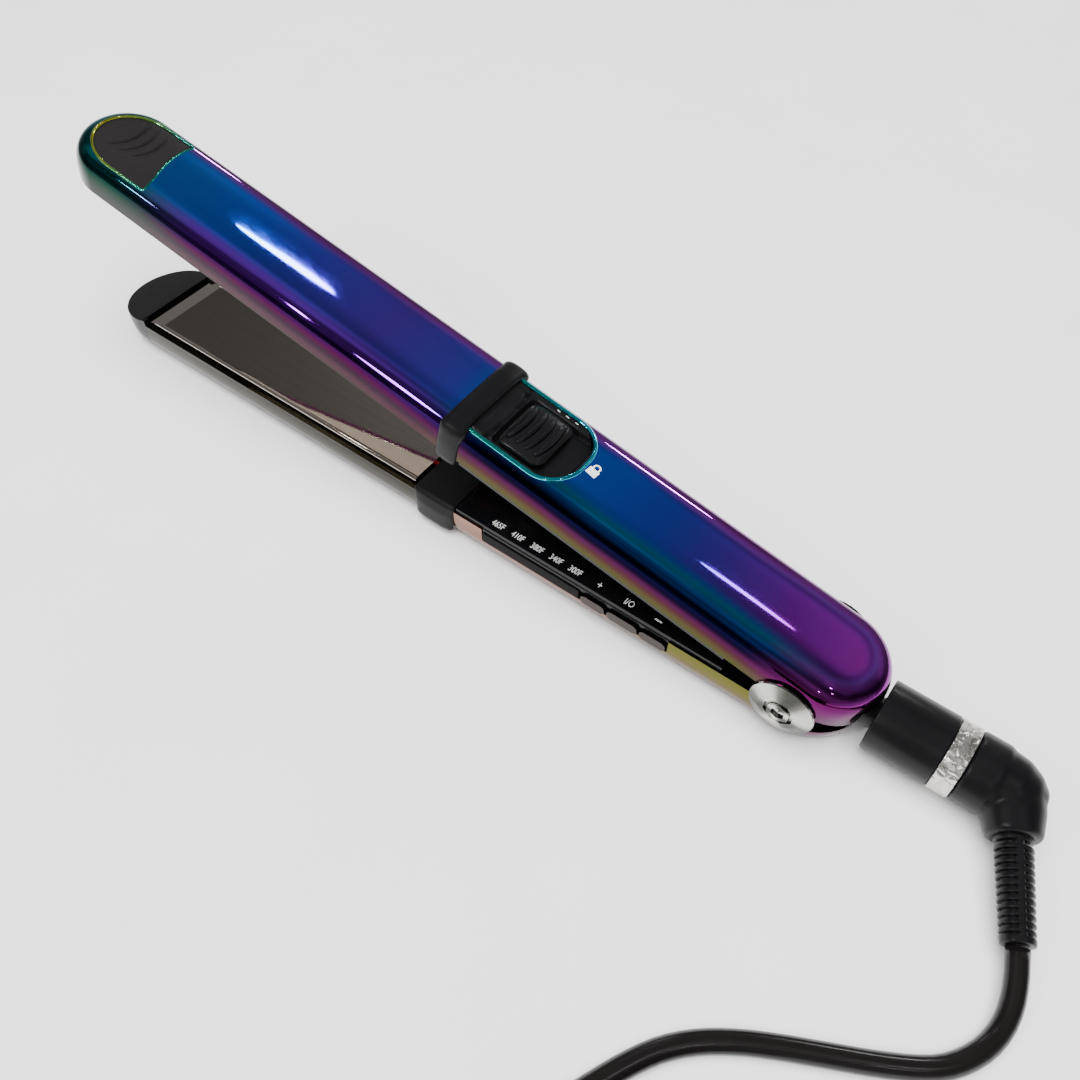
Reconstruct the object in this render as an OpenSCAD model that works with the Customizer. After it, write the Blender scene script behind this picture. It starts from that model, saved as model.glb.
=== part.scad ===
// Flat iron, 1 inch titanium plates, with swivel cord
// Millimetres. +X runs along the arms towards the cord, +Z is up, the table is z = 0.
// The lower arm lies on its flat underside. The upper arm is drawn shut and then opened
// about the hinge pin by the module opened().

/* [Arms] */
// Width of both arms
arm_w = 28; // [27:0.5:30]
// Height of one arm, outer face to the joint plane
arm_h = 12.4; // [12:0.2:14]
// Radius of the long outer edges
edge_r = 6.5; // [5:0.5:7]
// Shell wall thickness
wall = 1.5; // [1.2:0.1:1.8]
// Angle between the arms at rest
open_deg = 10.7; // [8:0.1:12]

/* [Plates] */
// Width of a styling plate
plate_w = 24.4; // [22:0.2:24.4]
// Where the plates start and end
plate_x0 = -117; // [-118:1:-112]
plate_x1 = -11; // [-20:1:-11]

/* [Cord] */
// Diameter of the power cord
cord_d = 5; // [4.5:0.1:5.5]
// Mean radius of the coiled part of the cord
coil_r = 29; // [26:1:30]

/* [Hidden] */
$fn = 64;
eps = 0.01;
rim = 1.8;                    // shell edge stops this far from the joint plane
face = 0.2;                   // plates and covers stop this far from the joint plane
hinge_x = 100;
half = arm_w / 2;
rear_x = hinge_x + 1.7;       // centre of the lower rear dome
upper_rear_x = hinge_x + 3.2; // centre of the upper rear dome
tip_r = 15.2;                 // plan radius of the upper tip
upper_tip_x = -136.8;
nose_x = -133;
shell_x0 = -116;
axis_z = 9.1;                 // height of the swivel axis
barrel_r = 8.9;
win_x0 = 4.2;                 // slider window
win_x1 = 30.3;
win_w = 20.8;
label_x = [16.2, 22.5, 28.6, 34.5, 40.4];
buttons = [[44.4, 51.7], [52.3, 61.3], [61.9, 69.4]];
boot_dir = [14, -30, -3.6];   // direction of the strain relief
boot_len = sqrt(14 * 14 + 30 * 30 + 3.6 * 3.6);
boot_yaw = atan2(-30, 14);
boot_pitch = asin(3.6 / boot_len);
elbow_x = 150.5;
coil_c = [136.5, -137];
coil_w = 20;                  // coil bundle, four cords wide
coil_h = 19.2;                // and four high
coil_z = 0.55 + coil_h / 2;

// Route of the free cord, from the strain relief to the coil
route = [
  [164.6, -30.2, 5.48], [165.5, -32.5, 5], [166.6, -35.2, 4.4], [167.9, -40, 3.6],
  [168.2, -45.2, 2.9], [167.1, -50.4, 2.65], [164.8, -55.1, 2.6], [161.6, -59.2, 2.6],
  [157.4, -62.5, 2.6], [150.8, -66.4, 2.6], [142.7, -70.6, 2.6], [134.2, -75, 2.6],
  [127, -79.2, 2.6], [120.6, -84, 2.6], [115.6, -89.4, 2.6], [111.8, -95.6, 2.6],
  [108.6, -102.2, 2.6], [105.4, -109.4, 2.7]
];
// Route of the short lead from the coil to the plug
lead_route = [
  [102.6, -137.4, 22.4], [103.5, -143.2, 22.5], [105.9, -149, 23], [109.5, -154, 24.1],
  [114.5, -157.8, 25.4], [120.3, -160.2, 26.8], [126, -161, 27.7], [129, -161, 27.8],
  [131.6, -161, 27.8]
];
plug_at = [130, -161, 27.8];
plug_yaw = 0;

// ---------- shared shapes ----------

// Arm section with rounded long edges: outer face at z = 0, open side at z = h
module section(w, h, r) {
  intersection() {
    translate([-w / 2, 0]) square([w, h]);
    union() {
      translate([-w / 2, r]) square([w, h]);
      translate([-w / 2 + r, 0]) square([w - 2 * r, h]);
      translate([-w / 2 + r, r]) circle(r);
      translate([w / 2 - r, r]) circle(r);
    }
  }
}

// Quarter of the same section, for the domed ends
module half_section(w, h, r) {
  intersection() {
    section(w, h, r);
    translate([0, -1]) square([w, h + 2]);
  }
}

// Extrude a Y-Z drawing along X from x0 to x1
module along_x(x0, x1) {
  translate([x0, 0, 0]) rotate([90, 0, 90]) linear_extrude(x1 - x0) children();
}

// Straight arm body from x0 to x1
module straight(x0, x1, w, h, r) {
  along_x(x0, x1) section(w, h, r);
}

// Domed end centred at x, facing +X (side 1) or -X (side -1)
module dome(x, side, w, h, r, stretch = 1) {
  translate([x, 0, 0]) rotate([0, 0, side > 0 ? -90 : 90])
    rotate_extrude(angle = 180) half_section(w, h, r);
}

module block(x0, x1, y0, y1, z0, z1) {
  translate([x0, y0, z0]) cube([x1 - x0, y1 - y0, z1 - z0]);
}

// Round rod along X, Y or Z
module rod_x(x0, x1, y, z, r) { translate([x0, y, z]) rotate([0, 90, 0]) cylinder(h = x1 - x0, r = r); }
module rod_y(x, y0, y1, z, r) { translate([x, y0, z]) rotate([-90, 0, 0]) cylinder(h = y1 - y0, r = r); }
module rod_z(x, y, z0, z1, r) { translate([x, y, z0]) cylinder(h = z1 - z0, r = r); }

// Upper arm pieces are drawn like lower ones, turned over and opened about the pin
module opened() {
  translate([hinge_x, 0, arm_h]) rotate([0, open_deg, 0]) translate([-hinge_x, 0, -arm_h])
    translate([0, 0, 2 * arm_h]) mirror([0, 0, 1]) children();
}

// Small countersunk screw with a slot, head at the top
module screw(x, y, z_top, len) {
  difference() {
    union() {
      rod_z(x, y, z_top - 1.2, z_top, 1.9);
      rod_z(x, y, z_top - len, z_top - 1, 0.9);
    }
    block(x - 1.3, x + 1.3, y - 0.25, y + 0.25, z_top - 0.5, z_top + 1);
    block(x - 0.25, x + 0.25, y - 1.3, y + 1.3, z_top - 0.5, z_top + 1);
  }
}

// Tube swept along a list of points, n sides
module swept(pts, r, n = 10) {
  m = len(pts);
  dirs = [for (i = [0:m - 1]) let (a = pts[max(i - 1, 0)], b = pts[min(i + 1, m - 1)]) (b - a) / norm(b - a)];
  rings = [for (i = [0:m - 1]) let (d = dirs[i], s = [d[1], -d[0], 0] / norm([d[0], d[1]]),
      u = cross(s, d)) [for (k = [0:n - 1]) pts[i] + r * (cos(k * 360 / n) * s + sin(k * 360 / n) * u)]];
  polyhedron(points = [for (q = rings) for (p = q) p],
    faces = concat([[for (k = [0:n - 1]) k]],
      [for (i = [0:m - 2]) for (k = [0:n - 1])
        [i * n + k, (i + 1) * n + k, (i + 1) * n + (k + 1) % n, i * n + (k + 1) % n]],
      [[for (k = [n - 1:-1:0]) (m - 1) * n + k]]));
}

// ---------- lower arm ----------

module lower_shell() color([0.10, 0.16, 0.55]) {
  top = arm_h - rim;
  difference() {
    union() {
      straight(shell_x0, rear_x, arm_w, top, edge_r);
      dome(rear_x, 1, arm_w, top, edge_r);
    }
    translate([0, 0, wall]) straight(shell_x0 - 1, rear_x, arm_w - 2 * wall, top, edge_r - wall);
    translate([0, 0, wall]) dome(rear_x, 1, arm_w - 2 * wall, top, edge_r - wall);
    // lower edge behind the hinge, so the upper arm can tip back
    block(hinge_x - 3, rear_x + 20, -20, 20, 6.6, 20);
    // side opening for the lamps and buttons
    block(12.8, 69.8, -20, -10, 5.9, 20);
    // notch for the swivel neck
    rod_x(rear_x, 130, 0, axis_z, 4.05);
  }
}

module lower_nose() color([0.05, 0.05, 0.055])
  difference() {
    union() {
      translate([0, 0, 0.2]) straight(nose_x + half, shell_x0 - 0.1, arm_w, arm_h - 0.5, edge_r);
      translate([0, 0, 0.2]) dome(nose_x + half, -1, arm_w, arm_h - 0.5, edge_r);
      translate([0, 0, 1.7]) straight(shell_x0 - 2, shell_x0 + 3, arm_w - 3.4, 7.5, 4.8);
    }
    // top face falls away towards the tip
    translate([plate_x0 - 0.4, -20, arm_h - 0.3]) rotate([0, 171, 0]) translate([-2, 0, -8]) cube([40, 40, 8]);
    block(plate_x0 - 0.4, shell_x0 + 4, -13, 13, 8.6, 20);
    translate([0, 0, 3.2]) straight(nose_x + half, shell_x0 + 4, arm_w - 7, 5, 3);
  }

// Titanium plate with turned-down long edges and a sloping front lip
module plate_shape() {
  intersection() {
    along_x(plate_x0 - 1, plate_x1 + 1) difference() {
      translate([0, arm_h - face]) mirror([0, 1]) section(plate_w, 3.2, 1.2);
      translate([0, arm_h - face - 1]) mirror([0, 1]) section(plate_w - 2, 6, 0.6);
    }
    translate([0, 20, 0]) rotate([90, 0, 0]) linear_extrude(40)
      polygon([[plate_x0, arm_h - 5], [plate_x0, arm_h - face - 1.3], [plate_x0 + 7, arm_h - face + 0.01],
        [plate_x1, arm_h - face + 0.01], [plate_x1, arm_h - 5]]);
  }
}

module heater_shape() {
  block(plate_x0 + 10, plate_x1 - 6, -9, 9, arm_h - 3, arm_h - 1.25);
  for (y = [-3, 3]) rod_x(plate_x1 - 6.5, plate_x1 - 2, y, arm_h - 2.1, 0.6);
}

module carrier_shape() difference() {
  block(plate_x0 + 4, plate_x1 - 0.5, -10.9, 10.9, 2.7, arm_h - 1.3);
  block(plate_x0 + 9, plate_x1 - 5, -9.3, 9.3, arm_h - 3.1, 20);
  block(plate_x0 + 14, plate_x1 - 8, -7, 7, 4.5, 20);
  block(plate_x1 - 8, plate_x1 + 5, -8.4, 8.4, arm_h - 4.6, 20);
}

module cushion_shape() for (x = [plate_x0 + 13, plate_x1 - 14]) for (y = [-5, 5])
  rod_z(x, y, wall, 2.7, 2.4);

module lead_shape(x_end) for (y = [-3, 3]) {
  rod_x(plate_x1 - 2, x_end, y, arm_h - 2.1 - 1.1, 0.7);
}

module lower_plate() color([0.62, 0.60, 0.58]) plate_shape();
module lower_heater() color([0.85, 0.83, 0.78]) heater_shape();
module lower_carrier() color([0.06, 0.06, 0.06]) carrier_shape();
module lower_cushions() color([0.7, 0.25, 0.15]) cushion_shape();
module lower_leads() color([0.8, 0.1, 0.1]) for (y = [-3, 3]) {
  rod_x(plate_x1 - 2, 8, y, arm_h - 2.1, 0.6);
  rod_z(7.4, y, 4.8, arm_h - 2.1, 0.6);
}

// Soft band clipped over the lower arm behind the plate
module lower_grip_band() color([0.04, 0.04, 0.045])
  difference() {
    along_x(-9.8, 3.6) intersection() {
      translate([0, -1.2]) section(arm_w + 2.6, arm_h + 1, edge_r + 1.2);
      translate([-20, 2.4]) square([40, arm_h - face - 2.4]);
    }
    straight(-12, 8, arm_w, arm_h - rim, edge_r);
    block(-12, 8, -half + 2.5, half - 2.5, 0, arm_h - 1.3);
    block(-12, 8, -half, half, 0, arm_h - rim);
  }

// Black inner cover of the handle, with the opening for the lock hook
module cover_shape(x0, x1) difference() {
  union() {
    block(x0, x1, -half + 0.5, half - 0.5, arm_h - rim + 0.05, arm_h - face);
    difference() {
      block(x0 + 1, x1 - 1, -half + wall + 0.25, half - wall - 0.25, arm_h - rim - 1.4, arm_h - face - 0.5);
      block(x0 + 2.4, x1 - 2.4, -half + wall + 1.6, half - wall - 1.6, 0, arm_h - rim + 0.2);
    }
  }
  block(12, 23.2, -2.7, 2.7, 0, 20);
  block(x0 - 1, x0 + 4.1, -8.4, 8.4, 0, arm_h - rim + 0.45);
  for (x = [x0 + 3.2, x1 - 4]) rod_z(x, 0, arm_h - face - 1.3, 20, 2.1);
  for (x = [x0 + 3.2, x1 - 4]) rod_z(x, 0, 0, 20, 1);
}

module control_cover() color([0.03, 0.03, 0.03]) union() {
  cover_shape(4, 84);
  // skirt that closes the side above the lamps and buttons
  block(13, 69.6, -half + 0.3, -half + wall + 0.3, 9.5, arm_h - rim + 0.1);
}

module lamp_lens() color([0.10, 0.09, 0.09]) block(13.1, 43.6, -half - 0.05, -half + 1.1, 6.1, 9.4);

module heat_lamps() color([0.9, 0.2, 0.1]) for (x = label_x) {
  rod_y(x, -12.6, -10.2, 7.6, 0.9);
  block(x - 1.4, x + 1.4, -10.3, -9, 4.8, 8.8);
}

module button_shape(b) {
  translate([(b[0] + b[1]) / 2, 0, 7.7]) intersection() {
    rotate([90, 0, 0]) linear_extrude(half + 0.5) union() {
      square([b[1] - b[0] - 3, 3], center = true);
      for (s = [-1, 1]) translate([s * ((b[1] - b[0]) / 2 - 1.5), 0]) circle(1.5);
    }
    translate([-10, -half - 0.5, -5]) cube([20, 2, 10]);
  }
  block((b[0] + b[1]) / 2 - 1, (b[0] + b[1]) / 2 + 1, -half + 1.4, -11.2, 6.9, 8.5);
}
module plus_button() color([0.75, 0.74, 0.73]) button_shape(buttons[0]);
module power_button() color([0.75, 0.74, 0.73]) button_shape(buttons[1]);
module minus_button() color([0.75, 0.74, 0.73]) button_shape(buttons[2]);

module control_board() color([0.05, 0.30, 0.12]) {
  difference() {
    block(6.4, 82, -11.4, 11.4, 3.4, 4.8);
    for (x = [28, 76]) rod_z(x, 6, 0, 10, 1.2);
  }
  for (x = [28, 76]) rod_z(x, -6, wall, 3.5, 1.5);
  block(30, 38, -2, 6, 4.7, 7.4);
  block(46, 58, 0, 8, 4.7, 8.2);
  rod_z(66, 4, 4.7, 8.8, 3);
}

module button_switches() color([0.55, 0.55, 0.56]) for (b = buttons) {
  block((b[0] + b[1]) / 2 - 2, (b[0] + b[1]) / 2 + 2, -9.4, -6.4, 4.8, 9);
  rod_y((b[0] + b[1]) / 2, -10.4, -9.3, 7.7, 1);
}

module cover_screws() color([0.5, 0.5, 0.52]) for (x = [7.2, 80]) screw(x, 0, arm_h - face - 0.05, 5);

// Block fixed in the lower shell: two ears for the pin and a wall for the swivel neck
module hinge_bracket() color([0.12, 0.12, 0.13]) difference() {
  union() {
    intersection() {
      union() {
        block(82.6, 113, -8, 8, wall, 3.4);
        block(94, 112, -10.8, 10.8, wall, 6);
      }
      translate([0, 0, wall]) union() {
        straight(80, rear_x, arm_w - 2 * wall - 0.2, 10, edge_r - wall);
        dome(rear_x, 1, arm_w - 2 * wall - 0.2, 10, edge_r - wall);
      }
    }
    for (s = [-1, 1]) translate([0, s * 9.5, 0]) {
      block(hinge_x - 3.4, hinge_x + 3.4, -1.3, 1.3, 3, arm_h);
      rod_y(hinge_x, -1.3, 1.3, arm_h, 3.4);
    }
    block(107, 112, -6, 6, 3, 13.6);
    rod_z(87.5, 0, 3, 5.4, 3.6);
  }
  rod_y(hinge_x, -12, 12, arm_h, 1.5);
  rod_x(100, 120, 0, axis_z, 4);
  rod_x(104.8, 107, 0, axis_z, 5.1);
  for (y = [-8.4, 8.4]) rod_z(107, y, 0, 20, 1);
}

module bracket_screws() color([0.5, 0.5, 0.52]) for (y = [-8.4, 8.4]) union() {
  rod_z(107, y, 6, 7, 2);
  rod_z(107, y, 3.3, 6.2, 1);
}

module hinge_pin() color([0.7, 0.7, 0.72]) rod_y(hinge_x, -half - 0.1, half + 0.1, arm_h, 1.5);

// Coil spring that pushes the arms apart, drawn as its sloping turns
module opening_spring() color([0.6, 0.6, 0.62]) {
  turns = 6; z0 = 6.2; pitch = 2.0;
  for (i = [0:turns - 1]) translate([87.5, 0, z0 + i * pitch]) rotate([0, i == 0 ? 0 : 8, 0])
    rotate_extrude() translate([2.4, 0]) circle(0.45, $fn = 24);
}

// Chrome caps over the hinge, eight facets round a raised centre
module medallion() difference() {
  union() {
    cylinder(h = 0.8, r = 8.2);
    intersection() {
      translate([0, 0, 0.6]) cylinder(h = 1.2, r1 = 9.2, r2 = 4.6, $fn = 8);
      cylinder(h = 4, r = 8.2);
    }
    translate([0, 0, 0.5]) cylinder(h = 1.8, r = 3.4);
  }
  difference() {
    translate([0, 0, 1.7]) cylinder(h = 2, r = 2.8);
    cylinder(h = 2.2, r = 1.6, $fn = 6);
  }
}
module hinge_medallions() color([0.8, 0.8, 0.8]) {
  translate([hinge_x, -half - 0.1, arm_h]) rotate([90, 0, 0]) medallion();
  translate([hinge_x, half + 0.1, arm_h]) rotate([-90, 0, 0]) medallion();
}

module lock_catch() color([0.6, 0.6, 0.62]) difference() {
  block(9, 28, -5, 5, 9.7, 10.4);
  block(12.2, 22.8, -2.3, 2.3, 0, 20);
}

// Fixed barrel behind the arms, with the neck held by the bracket
module swivel_barrel() color([0.045, 0.045, 0.05]) difference() {
  union() {
    rod_x(105.5, 119, 0, axis_z, 3.98);
    rod_x(105.5, 106.9, 0, axis_z, 5);
    rod_x(118.4, 134.7, 0, axis_z, barrel_r);
    rod_x(134, 139.6, 0, axis_z, barrel_r - 0.8);
  }
  rod_x(100, 150, 0, axis_z, 2);
  rod_x(128, 150, 0, axis_z, 5.4);
}

module silver_ring() color([0.75, 0.74, 0.72]) difference() {
  rod_x(134.75, 139.6, 0, axis_z, barrel_r + 0.05);
  rod_x(134, 141, 0, axis_z, barrel_r - 0.75);
}

// ---------- upper arm ----------

module window_shape(w, x0, x1) {
  r = w / 2 - 1.5;
  translate([x0, -w / 2]) square([x1 - x0 - r, w]);
  translate([x1 - r, -w / 2 + r]) square([r, w - 2 * r]);
  for (s = [-1, 1]) translate([x1 - r, s * (w / 2 - r)]) circle(r);
}

module tip_shape(w, x0, x1) {
  intersection() {
    union() {
      translate([x0 + w / 2, 0]) circle(w / 2);
      translate([x0 + w / 2, -w / 2]) square([60, w]);
    }
    difference() {
      translate([x0 - 1, -20]) square([x1 - x0 + 1, 40]);
      translate([x1 + 5.5, 4]) circle(7);
    }
  }
}

module upper_shell() color([0.12, 0.14, 0.55]) opened() {
  top = arm_h - rim;
  tx = upper_tip_x + half;
  difference() {
    union() {
      straight(tx, upper_rear_x, arm_w, top, edge_r);
      dome(upper_rear_x, 1, arm_w, top, edge_r);
      dome(tx, -1, arm_w, top, edge_r);
    }
    translate([0, 0, wall]) {
      straight(tx, upper_rear_x, arm_w - 2 * wall, top, edge_r - wall);
      dome(upper_rear_x, 1, arm_w - 2 * wall, top, edge_r - wall);
      dome(tx, -1, arm_w - 2 * wall, top, edge_r - wall);
    }
    // slider window
    translate([0, 0, -1]) linear_extrude(8) window_shape(win_w, win_x0, win_x1);
    // seat of the tip insert
    translate([0, 0, -1]) linear_extrude(5) tip_shape(21, -131.5, -106.6);
    // arch over the swivel neck
    block(hinge_x + 4, upper_rear_x + 20, -7.5, 7.5, 5.4, 20);
  }
}

module upper_nose() color([0.05, 0.05, 0.055]) opened() {
  tx = upper_tip_x + half;
  difference() {
    union() {
      translate([0, 0, 2]) straight(tx, plate_x0 + 1, arm_w - 2 * wall - 0.5, arm_h - 2.4, edge_r - wall);
      translate([0, 0, 2]) dome(tx, -1, arm_w - 2 * wall - 0.5, arm_h - 2.4, edge_r - wall);
    }
    block(-140, -100, -20, 20, -1, 4.6);
    block(plate_x0 - 0.4, -100, -13, 13, 8.6, 20);
    block(tx, plate_x0 + 2, -9.5, 9.5, 4, 9.5);
  }
}

// Finger rest on the tip, with three curved grooves
module tip_insert() color([0.05, 0.05, 0.055]) opened() difference() {
  intersection() {
    translate([0, 0, 0.12]) union() {
      straight(upper_tip_x + half, -90, arm_w - 0.24, 8, edge_r);
      dome(upper_tip_x + half, -1, arm_w - 0.24, 8, edge_r);
    }
    linear_extrude(2.6) tip_shape(20.7, -131.35, -106.75);
  }
  for (i = [0:2]) translate([-133 + i * 3.2, 0, -0.4])
    rotate([0, 0, 0]) intersection() {
      difference() { cylinder(h = 1.2, r = 12.6); translate([0, 0, -1]) cylinder(h = 3, r = 11.6); }
      rotate([0, 0, 0]) translate([5, -6.2 + i * 0.6, -1]) cube([20, 12.4 - i * 1.2, 4]);
    }
}

module upper_plate() color([0.62, 0.60, 0.58]) opened() plate_shape();
module upper_heater() color([0.85, 0.83, 0.78]) opened() heater_shape();
module upper_carrier() color([0.06, 0.06, 0.06]) opened() carrier_shape();
module upper_cushions() color([0.7, 0.25, 0.15]) opened() cushion_shape();
module upper_leads() color([0.8, 0.1, 0.1]) opened() for (y = [-3, 3])
  rod_x(plate_x1 - 2, 81.2, y * 2.4, arm_h - 3.6, 0.6);

module thermal_fuse() color([0.7, 0.7, 0.6]) opened() {
  rod_x(-96, -86, 4, 6.2, 1.5);
  rod_x(-100, -82, 4, 6.2, 0.4);
}

// Soft band round the upper arm in front of the slider window
module upper_grip_band() color([0.04, 0.04, 0.045]) opened() {
  difference() {
    along_x(-3.4, 3.4) intersection() {
      translate([0, -1.1]) section(arm_w + 2.4, arm_h + 2, edge_r + 1.1);
      translate([-20, -2]) square([40, arm_h - face + 2]);
    }
    straight(-6, 6, arm_w, arm_h - rim, edge_r);
    block(-6, 6, -half, half, 2, arm_h - 1.2);
  }
}

// Dished liner of the slider window
module slider_saddle() color([0.05, 0.05, 0.055]) opened() difference() {
  intersection() {
    translate([0, 0, 0.9]) straight(win_x0 - 2, 60, arm_w - 2, 8, edge_r);
    linear_extrude(5.6) window_shape(win_w - 0.5, win_x0 + 0.2, win_x1 - 0.25);
  }
  block(9.4, 29, -8.4, 8.4, -1, 3.6);
  block(11.6, 23.4, -2.7, 2.7, 0, 10);
  rod_y(6.6, -20, 20, -4.6, 7);
}

// Ribbed slider
module lock_slider() color([0.06, 0.06, 0.065]) opened() difference() {
  union() {
    block(9.9, 22.4, -8, 8, 1.6, 3.4);
    intersection() {
      block(9.9, 22.4, -8, 8, -0.4, 3.4);
      rod_x(9, 24, 0, 11.4, 12);
    }
    for (i = [0:3]) intersection() {
      translate([3.2 + i * 2.6, 0, -0.95]) difference() {
        cylinder(h = 3, r = 9.4);
        translate([0, 0, -1]) cylinder(h = 5, r = 8.3);
      }
      block(9.9, 22.4, -6.8, 6.8, -2, 3);
      rod_x(9, 24, 0, 11.2, 12.2);
    }
    block(12.4, 16.4, -2.3, 2.3, 3, 6.2);
  }
  block(12.9, 15.5, -1.9, 1.9, 4.6, 8);
}

// Steel hook carried by the slider
module lock_hook() color([0.65, 0.65, 0.67]) opened() union() {
  block(13, 15.4, -1.8, 1.8, 4.7, 16.1);
  block(15.3, 19.2, -1.8, 1.8, 15.2, 16.1);
}

module upper_cover() color([0.04, 0.04, 0.04]) opened() difference() {
  cover_shape(4, 84);
  // clear of the opening spring
  block(83.2, 90, -20, 20, 0, 20);
}
module upper_cover_screws() color([0.5, 0.5, 0.52]) opened()
  for (x = [7.2, 80]) screw(x, 0, arm_h - face - 0.05, 5);

// Turning half of the hinge: two eyes under one block
module hinge_knuckles() color([0.12, 0.12, 0.13]) opened() difference() {
  union() {
    intersection() {
      block(83, 108, -9, 9, wall, 4);
      translate([0, 0, wall]) straight(80, 112, arm_w - 2 * wall - 0.2, 10, edge_r - wall);
    }
    for (s = [-1, 1]) translate([0, s * 6, 0]) {
      block(hinge_x - 3.2, hinge_x + 3.2, -1.9, 1.9, 3, arm_h);
      rod_y(hinge_x, -1.9, 1.9, arm_h, 3.2);
    }
    rod_z(87.5, 0, 3, 5, 3.6);
  }
  rod_y(hinge_x, -12, 12, arm_h, 1.55);
  block(103.4, 120, -4.2, 4.2, 3.4, 20);
}

// ---------- swivel and cord ----------

// Places children with +Z along the strain relief, at the middle of the elbow
module along_boot() translate([elbow_x, 0, axis_z]) rotate([0, 0, boot_yaw]) rotate([0, 90 + boot_pitch, 0]) children();

module swivel_elbow() color([0.045, 0.045, 0.05]) difference() {
  union() {
    rod_x(129, 140.4, 0, axis_z, 5.3);
    rod_x(139.9, 146.6, 0, axis_z, barrel_r - 0.1);
    rod_x(146.5, 147.4, 0, axis_z, barrel_r - 0.9);
    rod_x(147.3, elbow_x, 0, axis_z, barrel_r - 0.5);
    translate([elbow_x, 0, axis_z]) sphere(barrel_r - 0.5);
    along_boot() cylinder(h = 10.5, r = 6.2);
  }
  along_boot() translate([0, 0, 4]) cylinder(h = 20, r = 4.1);
  rod_x(120, 148, 0, axis_z, 2);
}

module slip_contacts() color([0.75, 0.55, 0.3]) for (x = [130.5, 133.5, 136.5]) difference() {
  rod_x(x, x + 1.6, 0, axis_z, 1.95);
  rod_x(x - 1, x + 3, 0, axis_z, 1.1);
}

// Ribbed boot over the cord
module strain_relief() color([0.05, 0.05, 0.055]) along_boot() difference() {
  union() {
    translate([0, 0, 4.2]) cylinder(h = 28.6, r = 3.2);
    translate([0, 0, 4.2]) cylinder(h = 7.6, r = 4.05);
    for (i = [0:12]) translate([0, 0, 12.4 + i * 1.56]) cylinder(h = 1.0, r = 4.1 - i * 0.04);
    translate([0, 0, 32.2]) cylinder(h = 1, r = 3.6);
  }
  translate([0, 0, 3]) cylinder(h = 3, r = 2);
}

module power_cord() color([0.05, 0.04, 0.04]) union() {
  swept(route, cord_d / 2, 10);
}

module cord_coil() color([0.05, 0.04, 0.04]) translate([coil_c[0], coil_c[1], coil_z])
  rotate_extrude() union() {
    translate([coil_r - coil_w / 2 + 2.5, -coil_h / 2]) square([coil_w - 5, coil_h]);
    translate([coil_r - coil_w / 2, -coil_h / 2 + 2.5]) square([coil_w, coil_h - 5]);
    for (a = [-1, 1]) for (b = [-1, 1])
      translate([coil_r + a * (coil_w / 2 - 2.5), b * (coil_h / 2 - 2.5)]) circle(2.5);
  }

// Hook-and-loop strap round the coil
module cord_tie() color([0.08, 0.08, 0.08]) translate([coil_c[0] - 7, coil_c[1] + coil_r, 0]) difference() {
  translate([0, -12.5, 0]) cube([14, 23.9, 20.9]);
  translate([-1, -11.7, 0.5]) cube([16, 22.1, 19.5]);
}

module plug_lead() color([0.05, 0.04, 0.04]) swept(lead_route, cord_d / 2, 10);

module plug_place() translate(plug_at) rotate([0, 0, plug_yaw]) children();
module plug_body() color([0.05, 0.05, 0.055]) plug_place() difference() {
  union() {
    rod_x(-2, 12, 0, 0, 4);
    for (i = [0:3]) rod_x(-1 + i * 3, 0.4 + i * 3, 0, 0, 4.6);
    block(11, 33, -12, 12, -8, 8);
    block(13, 31, -12.6, 12.6, -6, 6);
  }
  rod_x(-3, 2, 0, 0, 2.55);
}
module plug_blades() color([0.7, 0.7, 0.7]) plug_place() for (y = [-6.35, 6.35]) difference() {
  block(33, 50, y - 0.75, y + 0.75, -3.2, 3.2);
  rod_y(46.5, y - 2, y + 2, 0, 1.6);
}

lower_shell();
lower_nose();
lower_plate();
lower_heater();
lower_carrier();
lower_cushions();
lower_leads();
lower_grip_band();
control_cover();
lamp_lens();
heat_lamps();
plus_button();
power_button();
minus_button();
control_board();
button_switches();
cover_screws();
hinge_bracket();
bracket_screws();
hinge_pin();
opening_spring();
hinge_medallions();
lock_catch();
swivel_barrel();
silver_ring();
upper_shell();
upper_nose();
tip_insert();
upper_plate();
upper_heater();
upper_carrier();
upper_cushions();
upper_leads();
thermal_fuse();
upper_grip_band();
slider_saddle();
lock_slider();
lock_hook();
upper_cover();
upper_cover_screws();
hinge_knuckles();
swivel_elbow();
slip_contacts();
strain_relief();
power_cord();
cord_coil();
cord_tie();
plug_lead();
plug_body();
plug_blades();
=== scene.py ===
import math

import bmesh
import bpy
import numpy as np
from mathutils import Matrix, Vector


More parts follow.
